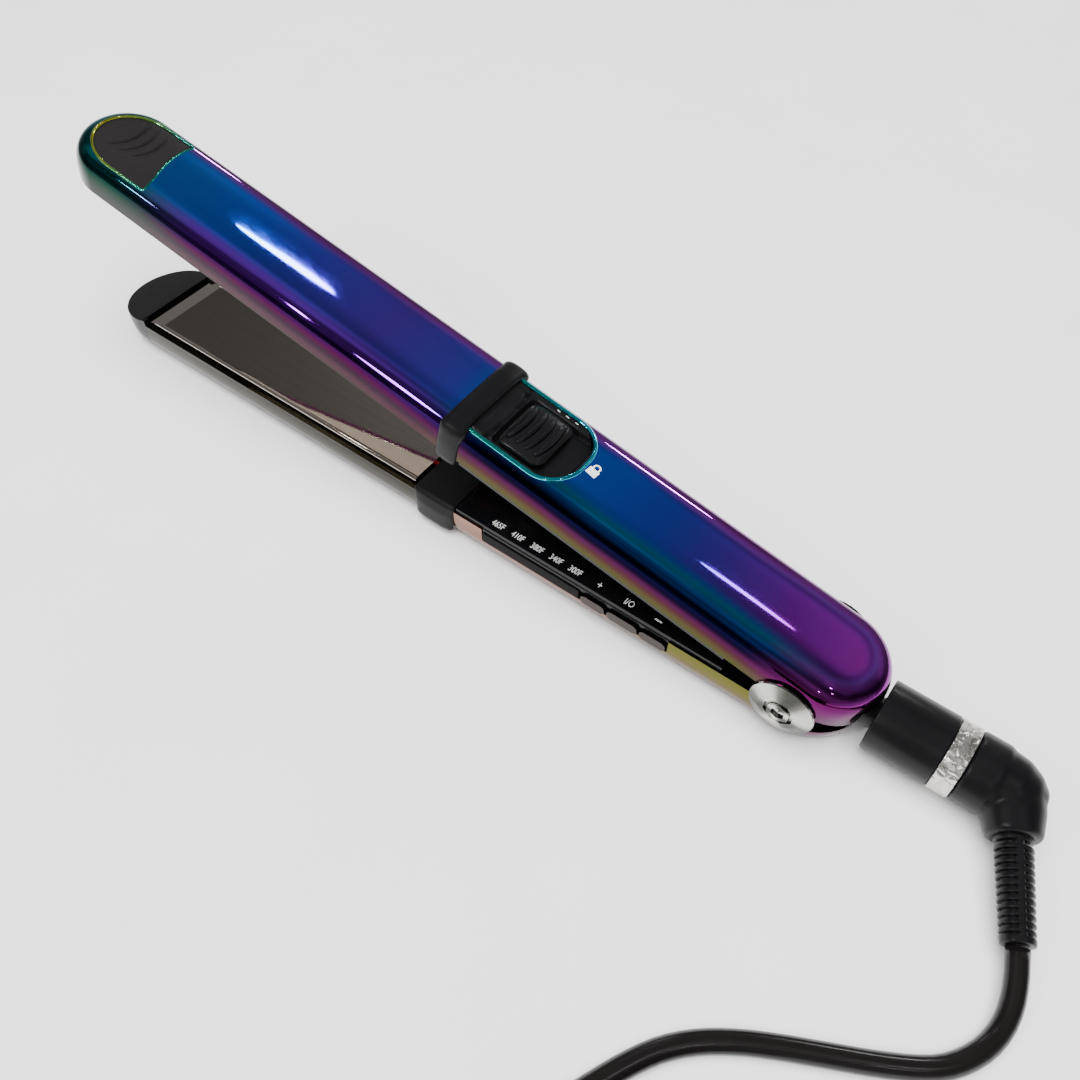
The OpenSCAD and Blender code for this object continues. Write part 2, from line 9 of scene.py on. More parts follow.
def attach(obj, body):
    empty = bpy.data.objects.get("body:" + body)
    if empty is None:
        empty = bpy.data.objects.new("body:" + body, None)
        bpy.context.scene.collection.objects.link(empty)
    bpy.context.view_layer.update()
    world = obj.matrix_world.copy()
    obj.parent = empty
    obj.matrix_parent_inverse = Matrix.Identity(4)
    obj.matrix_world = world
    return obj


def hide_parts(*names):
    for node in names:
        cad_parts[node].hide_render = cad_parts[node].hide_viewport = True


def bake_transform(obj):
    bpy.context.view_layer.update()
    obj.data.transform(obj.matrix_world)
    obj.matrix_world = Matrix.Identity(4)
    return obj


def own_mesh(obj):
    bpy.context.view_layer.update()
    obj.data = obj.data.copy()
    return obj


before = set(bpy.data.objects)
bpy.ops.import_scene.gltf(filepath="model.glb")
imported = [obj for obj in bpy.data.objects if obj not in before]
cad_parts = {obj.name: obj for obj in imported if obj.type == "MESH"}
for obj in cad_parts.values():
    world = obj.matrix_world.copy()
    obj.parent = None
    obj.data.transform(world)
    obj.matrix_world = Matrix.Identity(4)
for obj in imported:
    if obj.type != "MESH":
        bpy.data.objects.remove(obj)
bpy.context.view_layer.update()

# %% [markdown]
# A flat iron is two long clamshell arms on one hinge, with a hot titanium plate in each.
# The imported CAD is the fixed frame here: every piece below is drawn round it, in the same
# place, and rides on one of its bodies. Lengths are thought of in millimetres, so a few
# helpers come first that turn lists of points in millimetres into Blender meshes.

# an arm: its height over the joint plane, half its width, the power of its rounded
# section, and the place of the upper tip
ARM_H, HALF, POWER = 12.4, 14.0, 4.57
TIP_X = -136.8
HINGE = np.array([100.0, 0.0, ARM_H])
OPEN = math.radians(10.7)


# %% [markdown]
# The camera is set first, at the height and the slant from which the iron is shown, and
# then the cord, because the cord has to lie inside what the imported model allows.

# %% Camera
EYE = (0.11862, -0.14245, 0.22096)


def make_camera():
    data = bpy.data.cameras.new("camera")
    data.sensor_width, data.lens = 36.0, 34.482
    cam = bpy.data.objects.new("camera", data)
    bpy.context.scene.collection.objects.link(cam)
    right = Vector((0.80700497, 0.58995389, 0.02640801))
    down = Vector((0.47962374, -0.62868174, -0.61214405))
    ahead = Vector((-0.34453453, 0.50666920, -0.79030518))
    turn = Matrix((right, -down, -ahead)).transposed()
    cam.matrix_world = Matrix.Translation(Vector(EYE)) @ turn.to_4x4()
    data.clip_start, data.clip_end = 0.01, 20
    bpy.context.scene.camera = cam
    return cam


camera = make_camera()
print("camera at", [round(x, 3) for x in camera.location])


# %% [markdown]
# Two makers of meshes do most of the work. One takes points in millimetres and faces. The
# other joins rings of points into a skin, closed round and capped when asked, which suits
# everything that is swept or turned: bands, boots, beads, cords.

# %% Mesh makers
def mesh_piece(name, points, faces, smooth=True):
    mesh = bpy.data.meshes.new(name)
    mesh.from_pydata([tuple(float(c) / 1000 for c in p) for p in points], [], faces)
    mesh.validate()
    mesh.polygons.foreach_set("use_smooth", [smooth] * len(mesh.polygons))
    mesh.update()
    obj = bpy.data.objects.new(name, mesh)
    bpy.context.scene.collection.objects.link(obj)
    return obj


def ring_faces(rows, cols, caps=False, loop=False):
    """Faces between rings of cols points; loop joins the last ring to the first."""
    faces = []
    for i in range(rows if loop else rows - 1):
        j = (i + 1) % rows
        for k in range(cols):
            m = (k + 1) % cols
            faces.append((i * cols + k, i * cols + m, j * cols + m, j * cols + k))
    if caps:
        faces.append(tuple(reversed(range(cols))))
        faces.append(tuple((rows - 1) * cols + k for k in range(cols)))
    return faces


def fix_normals(obj, merge=0.0):
    bm = bmesh.new()
    bm.from_mesh(obj.data)
    if merge:
        bmesh.ops.remove_doubles(bm, verts=bm.verts, dist=merge / 1000)
        bmesh.ops.dissolve_degenerate(bm, edges=bm.edges, dist=merge / 2000)
    bmesh.ops.recalc_face_normals(bm, faces=bm.faces)
    bm.to_mesh(obj.data)
    bm.free()
    return obj


def applied(obj):
    """The object with its modifiers made part of its mesh."""
    deps = bpy.context.evaluated_depsgraph_get()
    mesh = bpy.data.meshes.new_from_object(obj.evaluated_get(deps))
    obj.modifiers.clear()
    obj.data = mesh
    return obj


def joined(name, parts):
    """Several pairs of points and faces as one piece."""
    points, faces = [], []
    for pts, fcs in parts:
        start = len(points)
        points += [tuple(p) for p in pts]
        faces += [tuple(start + i for i in f) for f in fcs]
    return mesh_piece(name, points, faces)


def moved(obj, place):
    """Takes every point of the mesh, in millimetres, to where place says."""
    points = np.array([v.co for v in obj.data.vertices]) * 1000
    obj.data.vertices.foreach_set("co", (place(points) / 1000).astype(np.float32).ravel())
    return obj


def set_smooth(obj, smooth):
    obj.data.polygons.foreach_set("use_smooth", [smooth] * len(obj.data.polygons))
    return obj


print("mesh makers ready")


# %% [markdown]
# The arms' own coordinates are x along the arm, y across it, and w, the height above the
# joint plane on the outer side. The lower arm is that drawing turned over, and the upper
# arm is the same drawing tipped up about the hinge pin.

# %% From arm coordinates to the frame
def lower_place(p):
    p = np.asarray(p, float)
    return np.stack([p[..., 0], p[..., 1], ARM_H - p[..., 2]], -1)


def upper_place(p):
    p = np.asarray(p, float)
    x, z = p[..., 0] - HINGE[0], p[..., 2]
    c, s = math.cos(OPEN), math.sin(OPEN)
    return np.stack([x * c + z * s + HINGE[0], p[..., 1], -x * s + z * c + HINGE[2]], -1)


def arm_height(y, half=HALF, high=ARM_H):
    """Height of the rounded outer face above the joint plane, at y across the arm."""
    return high * np.maximum(0.0, 1 - np.minimum(1, np.abs(y) / half) ** POWER) ** (1 / POWER)


def arm_profile(half, high, count, low=0.0):
    """Points (distance from the middle, height) from the edge at height low up to the top,
    closest together where the shoulder bends most."""
    t = np.concatenate([np.geomspace(1e-9, 0.01, 1500), np.linspace(0.01, math.pi / 2, 3000)])
    p = np.stack([half * np.cos(t) ** (2 / POWER), high * np.sin(t) ** (2 / POWER)], 1)
    p[-1] = (0, high)
    p = p[p[:, 1] >= low]
    step = np.diff(p, axis=0)
    length = np.hypot(step[:, 0], step[:, 1])
    angle = np.unwrap(np.arctan2(step[:, 1], -step[:, 0]))
    cost = np.concatenate([[0], np.cumsum(length / length.sum() + np.abs(np.gradient(angle)) / 1.2)])
    want = np.linspace(0, cost[-1], count)
    return np.stack([np.interp(want, cost, p[:, 0]), np.interp(want, cost, p[:, 1])], 1)


print("top of the upper arm at the tip", upper_place([TIP_X, 0, ARM_H]).round(1))


# %% [markdown]
# The cord of such an iron is long, for use at a mirror: 2.7 m of 5 mm flex. It leaves the
# ribbed boot, sinks to the table and makes one lazy bend there, and the rest is wound
# into a neat round coil beside the iron, with its plug on top. One smooth line carries all
# of it; the points of the free part repeat the route in the CAD source.

# %% The cord's line
CORD_D = 5.0
COIL = np.array([136.5, -137.0])
FREE = [(164.6, -30.2, 5.48), (165.5, -32.5, 5.0), (166.6, -35.2, 4.4), (167.9, -40, 3.6),
        (168.2, -45.2, 2.9), (167.1, -50.4, 2.65), (164.8, -55.1, 2.6), (161.6, -59.2, 2.6),
        (157.4, -62.5, 2.6), (150.8, -66.4, 2.6), (142.7, -70.6, 2.6), (134.2, -75, 2.6),
        (127, -79.2, 2.6), (120.6, -84, 2.6), (115.6, -89.4, 2.6), (111.8, -95.6, 2.6),
        (108.6, -102.2, 2.6), (105.2, -110, 2.7), (102, -119, 2.9), (100.5, -128, 3.0)]
LEAD = [(102.6, -137.4, 22.4), (103.5, -143.2, 22.5), (105.9, -149, 23), (109.5, -154, 24.1),
        (114.5, -157.8, 25.4), (120.3, -160.2, 26.8), (126, -161, 27.7), (129, -161, 27.8),
        (131.6, -161, 27.8)]


def smooth_line(points, step=1.5):
    """A Catmull-Rom line through the points, with even steps."""
    p = np.array(points, float)
    p = np.vstack([2 * p[0] - p[1], p, 2 * p[-1] - p[-2]])
    out = []
    for i in range(1, len(p) - 2):
        a, b, c, d = p[i - 1:i + 3]
        for t in np.linspace(0, 1, 20, endpoint=False):
            out.append(0.5 * (2 * b + (c - a) * t + (2 * a - 5 * b + 4 * c - d) * t * t
                              + (3 * b - a - 3 * c + d) * t ** 3))
    out.append(p[-2])
    out = np.array(out)
    run = np.concatenate([[0], np.cumsum(np.linalg.norm(np.diff(out, axis=0), axis=1))])
    want = np.linspace(0, run[-1], max(2, int(run[-1] / step)))
    return np.stack([np.interp(want, run, out[:, k]) for k in range(3)], 1)


def ease(t):
    t = np.clip(t, 0, 1)
    return t * t * t * (t * (6 * t - 15) + 10)


def coil_points(start=math.pi):
    """Fourteen turns in layers of four, three, four and three, laid from the outside in
    and back out again. The last turn climbs to where the plug's lead begins."""
    rows = [(3.05, [36.55, 31.5, 26.45, 21.4]), (7.75, [23.9, 28.95, 34.0]),
            (12.45, [36.55, 31.5, 26.45, 21.4]), (17.15, [23.9, 28.95, 34.0])]
    seats = [(r, z) for z, radii in rows for r in radii]
    pts, per = [], 40
    for k, (r, z) in enumerate(seats):
        last = k == len(seats) - 1
        r2, z2 = seats[k + 1] if not last else (r, z)
        for i in range(per):
            u = i / per
            m = float(ease((u - 0.62) / 0.38)) if not last else 0.0
            a = start + 2 * math.pi * u
            rr, zz = r + (r2 - r) * m, z + (z2 - z) * m
            if last:
                zz += 5.25 * float(ease((u - 0.79) / 0.21))
            pts.append((COIL[0] + rr * math.cos(a), COIL[1] + rr * math.sin(a), zz))
    return pts


cord_line = np.vstack([smooth_line(FREE + coil_points()[:3], 2.5)[:-3], coil_points()[2:]])
cord_line = np.vstack([cord_line[:-1], smooth_line([cord_line[-2], cord_line[-1]] + LEAD, 2.5)[1:]])


# %% A tube along a line
def tube(line, radius, sides=12, closed=False, squeeze=1.0):
    """Rings of points round a line, kept from twisting by carrying one frame along it."""
    line = np.asarray(line, float)
    n = len(line)
    if closed:
        ahead = np.roll(line, -1, 0) - np.roll(line, 1, 0)
    else:
        ahead = np.gradient(line, axis=0)
    ahead /= np.linalg.norm(ahead, axis=1)[:, None]
    up = np.array([0, 0, 1.0]) if abs(ahead[0][2]) < 0.9 else np.array([1.0, 0, 0])
    side = np.cross(ahead[0], up)
    rings = []
    radius = np.broadcast_to(radius, n)
    for i in range(n):
        side = side - ahead[i] * (side @ ahead[i])
        side /= np.linalg.norm(side)
        other = np.cross(side, ahead[i])
        for k in range(sides):
            a = 2 * math.pi * k / sides
            rings.append(line[i] + radius[i] * (math.cos(a) * side + math.sin(a) * other * squeeze))
    return rings, ring_faces(n, sides, caps=not closed, loop=closed)


cord = fix_normals(mesh_piece("cord", *tube(cord_line, CORD_D / 2, 14)))
print("cord", len(cord.data.polygons), "faces")


# %% [markdown]
# Finishes are written as sums on sockets. A small class wraps a socket, so that an
# expression such as (1 - mask) * 0.4 adds the Math nodes by itself, and one method adds
# any other node. Each finish then reads like the recipe that it is.

# %% Shader sums
class Value:
    def __init__(self, tree, socket):
        self.tree, self.socket = tree, socket

    def _math(self, kind, a, b=None):
        node = self.tree.nodes.new("ShaderNodeMath")
        node.operation = kind
        for slot, v in zip(node.inputs, (a, b)):
            if v is None:
                continue
            if isinstance(v, Value):
                self.tree.links.new(v.socket, slot)
            else:
                slot.default_value = v
        return Value(self.tree, node.outputs[0])

    def __add__(self, other):
        return self._math("ADD", self, other)

    def __radd__(self, other):
        return self._math("ADD", other, self)

    def __sub__(self, other):
        return self._math("SUBTRACT", self, other)

    def __rsub__(self, other):
        return self._math("SUBTRACT", other, self)

    def __mul__(self, other):
        return self._math("MULTIPLY", self, other)

    def __rmul__(self, other):
        return self._math("MULTIPLY", other, self)

    def __truediv__(self, other):
        return self._math("DIVIDE", self, other)

    def __rtruediv__(self, other):
        return self._math("DIVIDE", other, self)

    def sine(self):
        return self._math("SINE", self)

    def between(self, low, high):
        """0 below low, 1 above high, smooth in between."""
        node = self.tree.nodes.new("ShaderNodeMapRange")
        node.interpolation_type = "SMOOTHSTEP"
        self.tree.links.new(self.socket, node.inputs["Value"])
        node.inputs["From Min"].default_value = low
        node.inputs["From Max"].default_value = high
        return Value(self.tree, node.outputs["Result"])


def fill_ramp(band, stops):
    """Gives a colour ramp its stops, pairs of place and colour. The places are all set
    before any colour, because the ramp keeps its stops in order of place."""
    while len(band.elements) < len(stops):
        band.elements.new(0.5)
    for stop, (at, colour) in zip(band.elements, stops):
        stop.position = at
    for stop, (at, colour) in zip(band.elements, stops):
        stop.position = at
        stop.color = (*colour, 1.0)


class Finish:
    """A material under construction."""

    def __init__(self, name, **constants):
        self.material = bpy.data.materials.new(name)
        self.material.use_nodes = True
        self.tree = self.material.node_tree
        self.shader = self.tree.nodes["Principled BSDF"]
        for key, v in constants.items():
            self.shader.inputs[key.replace("_", " ")].default_value = v

    def node(self, kind, settings=None, values=None, out=0):
        node = self.tree.nodes.new(kind)
        for key, v in (settings or {}).items():
            setattr(node, key, v)
        for key, v in (values or {}).items():
            slot = node.inputs[key]
            if isinstance(v, Value):
                self.tree.links.new(v.socket, slot)
            else:
                slot.default_value = v
        return Value(self.tree, node.outputs[out])

    def place(self, centre=(0, 0, 0), scale=(1000, 1000, 1000)):
        """Object coordinates in millimetres, from a centre given in millimetres."""
        spot = self.node("ShaderNodeTexCoord", out="Object")
        shift = tuple(-c * s / 1000 for c, s in zip(centre, scale))
        return self.node("ShaderNodeMapping", values={"Vector": spot, "Scale": scale, "Location": shift})

    def along(self, name):
        return self.node("ShaderNodeAttribute", {"attribute_name": name}, out="Fac")

    def parts(self, vector):
        node = self.tree.nodes.new("ShaderNodeSeparateXYZ")
        self.tree.links.new(vector.socket, node.inputs[0])
        return [Value(self.tree, s) for s in node.outputs]

    def noise(self, vector, scale, detail=2.0, rough=0.5):
        return self.node("ShaderNodeTexNoise", values={
            "Vector": vector, "Scale": scale, "Detail": detail, "Roughness": rough})

    def ramp(self, factor, stops):
        node = self.tree.nodes.new("ShaderNodeValToRGB")
        fill_ramp(node.color_ramp, stops)
        self.tree.links.new(factor.socket, node.inputs["Fac"])
        return Value(self.tree, node.outputs["Color"])

    def mix(self, factor, a, b):
        node = self.tree.nodes.new("ShaderNodeMix")
        node.data_type = "RGBA"
        for slot, v in ((node.inputs["Factor"], factor), (node.inputs[6], a), (node.inputs[7], b)):
            if isinstance(v, Value):
                self.tree.links.new(v.socket, slot)
            else:
                slot.default_value = v if isinstance(v, float) else (*v, 1.0)
        return Value(self.tree, node.outputs[2])

    def into(self, name, value):
        self.tree.links.new(value.socket, self.shader.inputs[name])
        return self

    def bump(self, height, strength=0.3, distance=0.0001):
        out = self.node("ShaderNodeBump", values={"Height": height, "Strength": strength,
                                                  "Distance": distance})
        return self.into("Normal", out)


print("shader sums ready")


# %% [markdown]
# The arms are titanium with an oxide film, so thin that it colours the light: green and
# teal at the tip, then blue, then violet at the hinge, and along the edges crimson and
# gold, where the film lies at another slant. The sides are also painted much darker than
# the top, as painted shade, and their thin lighter bands are painted reflections. Real film
# colour depends on the eye; here it is painted as a fixed map of the arm, which holds from
# every side. Three numbers stored on the mesh carry the map: how far along the arm, how
# far round its section, which side.

# %% The oxide film
def upper_film_finish():
    f = Finish("oxide_film_upper_with_painted_shade", Metallic=1.0, Roughness=0.09)
    x, round_, side = f.along("along_arm"), f.along("round_arm"), f.along("side_arm")
    spot = f.place()
    drift = (f.noise(spot, 0.03, 1.0) - 0.5) * 0.10
    spread = (x + 137.0) / 256.0
    top = f.ramp(spread + drift * 0.5, [
        (0.00, (0.00, 0.20, 0.16)), (0.06, (0.00, 0.26, 0.34)), (0.11, (0.012, 0.24, 0.92)),
        (0.22, (0.03, 0.16, 1.0)), (0.31, (0.08, 0.085, 0.82)), (0.42, (0.15, 0.055, 0.68)),
        (0.50, (0.08, 0.10, 0.80)), (0.54, (0.01, 0.22, 0.84)), (0.66, (0.02, 0.17, 1.0)),
        (0.75, (0.05, 0.10, 0.85)), (0.82, (0.13, 0.04, 0.60)), (0.88, (0.22, 0.012, 0.42)),
        (0.95, (0.30, 0.015, 0.42)), (1.0, (0.36, 0.015, 0.30))])
    where = round_ + drift
    # The side ramps below are painted shade, far darker than the top. The thin lighter stops between dark
    # ones are painted reflection lines.
    near_front = f.ramp(where, [
        (0.30, (0.03, 0.06, 0.52)), (0.42, (0.13, 0.03, 0.46)), (0.52, (0.10, 0.012, 0.26)),
        (0.60, (0.020, 0.003, 0.055)), (0.68, (0.050, 0.001, 0.034)), (0.76, (0.016, 0.0006, 0.012)),
        (0.86, (0.034, 0.0004, 0.010)), (0.94, (0.008, 0.0004, 0.002)), (1.0, (0.036, 0.010, 0.012))])
    near_tip = f.ramp(where, [
        (0.30, (0.0, 0.26, 0.36)), (0.46, (0.0, 0.14, 0.16)), (0.58, (0.0, 0.030, 0.030)),
        (0.70, (0.002, 0.030, 0.016)), (0.84, (0.001, 0.006, 0.004)), (1.0, (0.006, 0.003, 0.005))])
    near_rear = f.ramp(where, [
        (0.28, (0.01, 0.18, 0.75)), (0.38, (0.0, 0.24, 0.46)), (0.47, (0.0, 0.07, 0.34)),
        (0.55, (0.002, 0.004, 0.028)), (0.66, (0.004, 0.001, 0.012)), (0.72, (0.050, 0.002, 0.036)),
        (0.79, (0.045, 0.007, 0.008)), (0.86, (0.045, 0.030, 0.001)), (0.94, (0.032, 0.038, 0.001)),
        (1.0, (0.030, 0.040, 0.004))])
    far = f.ramp(where, [
        (0.22, (0.06, 0.06, 0.60)), (0.30, (0.06, 0.01, 0.24)), (0.36, (0.26, 0.06, 0.55)),
        (0.42, (0.30, 0.03, 0.42)), (0.47, (0.06, 0.004, 0.08)), (0.54, (0.22, 0.02, 0.24)),
        (0.60, (0.08, 0.004, 0.06)), (0.72, (0.10, 0.006, 0.08)), (1.0, (0.04, 0.003, 0.025))])
    rear_mask = x.between(-14.0, 12.0)
    near = f.mix(rear_mask, near_front, near_rear)
    near = f.mix(x.between(84.0, 106.0), near, far)
    near = f.mix(x.between(-116.0, -84.0), near_tip, near)
    far = f.mix(x.between(-124.0, -102.0), near_tip, far)
    flank_film_and_painted_shade = f.mix(side.between(-0.25, 0.25), near, far)
    begin = 0.26 - 0.04 * rear_mask
    turn = (where - begin) / 0.16
    colour = f.mix(turn.between(0.0, 1.0), top, flank_film_and_painted_shade)
    f.into("Base Color", colour)
    marks = f.noise(f.place(scale=(180, 1400, 1400)), 1.0, 3.0)
    f.into("Roughness", 0.015 + marks * 0.035)
    waves = f.noise(f.place(scale=(30, 90, 90)), 1.0, 1.0)
    f.bump(waves, 0.05, 0.0004)
    return f.material


film_upper = upper_film_finish()
print("upper film ready")


# %% The lower arm's film
def lower_film_finish():
    f = Finish("oxide_film_lower_with_painted_shade", Metallic=1.0, Roughness=0.1)
    x, round_ = f.along("along_arm"), f.along("round_arm")
    drift = (f.noise(f.place(), 0.05, 1.0) - 0.5) * 0.12
    where = round_ + drift
    # The front ramp is kept very dark as painted shade. Its lighter stops between dark ones are painted
    # reflection lines, and its lightest stop, at the free edge, is a painted highlight.
    front = f.ramp(where, [
        (0.0, (0.024, 0.005, 0.003)), (0.36, (0.034, 0.005, 0.003)), (0.46, (0.060, 0.015, 0.006)),
        (0.54, (0.008, 0.003, 0.002)), (0.62, (0.045, 0.009, 0.005)), (0.70, (0.008, 0.006, 0.004)),
        (0.78, (0.030, 0.027, 0.012)), (0.88, (0.010, 0.009, 0.005)), (1.0, (0.080, 0.070, 0.045))])
    copper = f.ramp(where, [
        (0.0, (0.07, 0.012, 0.02)), (0.40, (0.10, 0.02, 0.022)), (0.70, (0.20, 0.09, 0.06)),
        (1.0, (0.30, 0.18, 0.13))])
    rear = f.ramp(where, [
        (0.0, (0.03, 0.005, 0.08)), (0.35, (0.08, 0.004, 0.03)), (0.62, (0.10, 0.045, 0.008)),
        (0.80, (0.10, 0.09, 0.003)), (1.0, (0.075, 0.08, 0.003))])
    dome = f.ramp(where, [
        (0.0, (0.02, 0.01, 0.12)), (0.5, (0.08, 0.003, 0.05)), (1.0, (0.09, 0.008, 0.06))])
    colour = f.mix(x.between(-4.0, 6.0), front, copper)
    colour = f.mix(x.between(42.0, 66.0), colour, rear)
    colour = f.mix(x.between(96.0, 108.0), colour, dome)
    f.into("Base Color", colour)
    marks = f.noise(f.place(scale=(150, 1400, 1400)), 1.0, 3.0)
    f.into("Roughness", 0.03 + marks * 0.06)
    return f.material


film_lower = lower_film_finish()
print("lower film ready")


# %% [markdown]
# Everything else is plain stuff done well: matt black grip rubber with a fine grain, gloss
# black mouldings with moulding haze, brushed titanium, bright cast caps, hammered foil.

# %% Other finishes
def plastic(name, colour, rough, grain=900.0, depth=0.25, vary=0.10, shine=0.5):
    f = Finish(name, Roughness=rough, Specular_IOR_Level=shine)
    spot = f.place()
    grains = f.noise(spot, grain / 1000.0, 4.0, 0.6)
    cloud = f.noise(spot, 0.06, 2.0)
    darker = tuple(c * 0.72 for c in colour)
    lighter = tuple(min(1.0, c * 1.3 + 0.002) for c in colour)
    f.into("Base Color", f.mix(cloud * 0.6 + grains * 0.4, darker, lighter))
    f.into("Roughness", rough - vary * 0.5 + vary * grains)
    f.bump(grains, depth, 0.00006)
    return f.material


def bright_metal(name, colour, rough, streak=(40, 1500, 1500), depth=0.05):
    f = Finish(name, Metallic=1.0, Roughness=rough)
    lines = f.noise(f.place(scale=streak), 1.0, 3.0, 0.6)
    dark = tuple(c * 0.82 for c in colour)
    f.into("Base Color", f.mix(lines, dark, colour))
    f.into("Roughness", rough * 0.7 + lines * rough * 0.6)
    f.bump(lines, depth, 0.00004)
    return f.material


def foil(name):
    f = Finish(name, Metallic=1.0, Roughness=0.2)
    spot = f.place(centre=(137, 0, 9.1))
    dents = f.node("ShaderNodeTexVoronoi", {"feature": "DISTANCE_TO_EDGE"},
                   {"Vector": f.place(centre=(137, 0, 9.1), scale=(700, 1000, 1000)), "Scale": 0.55},
                   out="Distance")
    nicks = f.noise(f.place(scale=(2600, 500, 500)), 0.35, 3.0, 0.7)
    worn = f.noise(spot, 0.5, 3.0)
    f.into("Base Color", f.ramp(worn * 0.5 + nicks * 0.5, [
        (0.3, (0.42, 0.39, 0.34)), (0.5, (0.66, 0.64, 0.60)), (0.7, (0.86, 0.85, 0.82))]))
    f.into("Roughness", 0.14 + worn * 0.3)
    f.bump(dents.between(0.0, 0.35) * 0.7 + nicks * 0.6, 0.9, 0.0003)
    return f.material


rubber = plastic("grip_rubber", (0.003, 0.003, 0.0035), 0.40, 1600, 0.2, shine=0.13)
soft_black = plastic("soft_black_moulding", (0.003, 0.003, 0.0035), 0.30, 1100, 0.12, shine=0.22)
gloss_black = plastic("gloss_black_moulding", (0.0015, 0.0015, 0.002), 0.16, 500, 0.03, 0.05, shine=0.13)
matt_grey = plastic("finger_rest_grey", (0.009, 0.008, 0.0085), 0.50, 2400, 0.3, shine=0.22)
barrel_black = plastic("barrel_satin_black", (0.0025, 0.0025, 0.003), 0.34, 700, 0.06, 0.06, shine=0.2)
cord_black = plastic("cord_jacket", (0.004, 0.003, 0.003), 0.22, 300, 0.05, 0.08, shine=0.3)
plate_metal = bright_metal("titanium_plate", (0.42, 0.375, 0.33), 0.05, (25, 1200, 1200), 0.01)


def cap_finish():
    """Bright metal whose facets are painted lighter and darker in turn round the pin axis, as painted light
    and shade, with stains over it.
    """
    f = Finish("bright_cap", Metallic=1.0, Roughness=0.05)
    x, y, z = f.parts(f.place(centre=(100, 0, 12.4)))
    turn = f.node("ShaderNodeMath", {"operation": "ARCTAN2"}, {0: z, 1: x})
    # painted light and shade: facets lighter and darker in turn round the pin axis
    facet_light_and_shade = (turn * 3.0 + 0.6).sine() * 0.5 + 0.5
    stains = f.noise(f.place(), 0.25, 2.0)
    f.into("Base Color", f.ramp(facet_light_and_shade * 0.7 + stains * 0.3, [
        (0.2, (0.05, 0.05, 0.045)), (0.45, (0.14, 0.14, 0.125)), (0.6, (0.34, 0.34, 0.32)),
        (0.8, (0.52, 0.52, 0.48))]))
    f.into("Roughness", 0.03 + stains * 0.08)
    return f.material


chrome = cap_finish()
key_metal = bright_metal("key_satin_silver", (0.045, 0.035, 0.032), 0.16, (60, 1200, 1200), 0.03)
steel = bright_metal("spring_steel", (0.55, 0.55, 0.56), 0.28, (500, 500, 500), 0.1)
brass = bright_metal("contact_brass", (0.72, 0.50, 0.22), 0.25, (500, 500, 500), 0.08)
foil_silver = foil("hammered_foil")
ceramic = plastic("heater_ceramic", (0.62, 0.60, 0.55), 0.6, 900, 0.3)
silicone = plastic("cushion_silicone", (0.45, 0.12, 0.07), 0.5, 900, 0.2)
wire_red = plastic("wire_sleeve", (0.50, 0.03, 0.02), 0.4, 700, 0.2)
board_green = plastic("circuit_board", (0.02, 0.14, 0.05), 0.4, 350, 0.3)
lamp_amber = plastic("lamp_amber", (0.55, 0.12, 0.04), 0.3, 500, 0.1)
lens_smoke = plastic("lens_smoke", (0.0015, 0.0012, 0.0012), 0.30, 300, 0.02, 0.04, shine=0.04)
tie_weave = plastic("tie_strap", (0.02, 0.02, 0.02), 0.8, 2600, 0.6)
print("finishes", len(bpy.data.materials))


# %% Giving a piece its finish and body
def settle(obj, finish, body, slot, *stands_for):
    obj.data.materials.clear()
    obj.data.materials.append(finish)
    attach(obj, body)
    if stands_for:
        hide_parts(*stands_for)
    return obj


# %% [markdown]
# Each shell is a pressed metal skin 1.5 mm thick. It is drawn as loops, from its free edge
# up over the shoulder to the top line, outside and inside, and joined at the edge. Openings
# are cut through afterwards. Because a cut spoils the shading near it, the direction of the
# true rounded surface is then worked out for every corner and given to the mesh.

# %% Shell loops
def stadium(rho, x0, x1, front, arc=28):
    """One loop at a distance rho from the middle line; front says if that end is domed."""
    pts = []
    for a in np.linspace(math.pi / 2, -math.pi / 2, arc):   # rear dome, far side to near side
        pts.append((x1 + rho * math.cos(a), rho * math.sin(a)))
    if front:
        for a in np.linspace(-math.pi / 2, -3 * math.pi / 2, arc):
            pts.append((x0 + rho * math.cos(a), rho * math.sin(a)))
    else:
        pts = [(x0, rho)] + pts + [(x0, -rho)]
    return pts


def shell_mesh(name, x0, x1, front, wall=1.5, edge=1.8, count=52):
    outer = arm_profile(HALF, ARM_H, count, edge)
    inner = arm_profile(HALF - wall, ARM_H - wall, count - 10, edge)
    pts, faces = [], []
    rows = []
    for prof in (outer[::-1], inner):
        for rho, w in prof:
            loop = stadium(max(rho, 0.0), x0, x1, front)
            rows.append(range(len(pts), len(pts) + len(loop)))
            pts += [(x, y, w) for x, y in loop]
    n, cols = len(rows), len(rows[0])
    split = len(outer) - 1
    for i in range(n - 1):
        for k in range(cols if front else cols - 1):
            j = (k + 1) % cols
            faces.append((rows[i][k], rows[i][j], rows[i + 1][j], rows[i + 1][k]))
    if not front:    # the two flat ends of the wall
        for k in (0, cols - 1):
            for i in range(split):
                o1, o2 = rows[split - i][k], rows[split - i - 1][k]
                m = len(inner) - 1
                i1 = rows[split + 1 + round(i * m / split)][k]
                i2 = rows[split + 1 + round((i + 1) * m / split)][k]
                faces.append((o1, o2, i2, i1) if i1 != i2 else (o1, o2, i1))
    obj = mesh_piece(name, pts, faces)
    return fix_normals(obj, merge=0.004)


def prism(outline, w0, w1):
    n = len(outline)
    pts = [(x, y, w0) for x, y in outline] + [(x, y, w1) for x, y in outline]
    return pts, ring_faces(2, n, caps=True)


def box_part(x0, x1, y0, y1, z0, z1):
    return prism([(x0, y0), (x1, y0), (x1, y1), (x0, y1)], z0, z1)


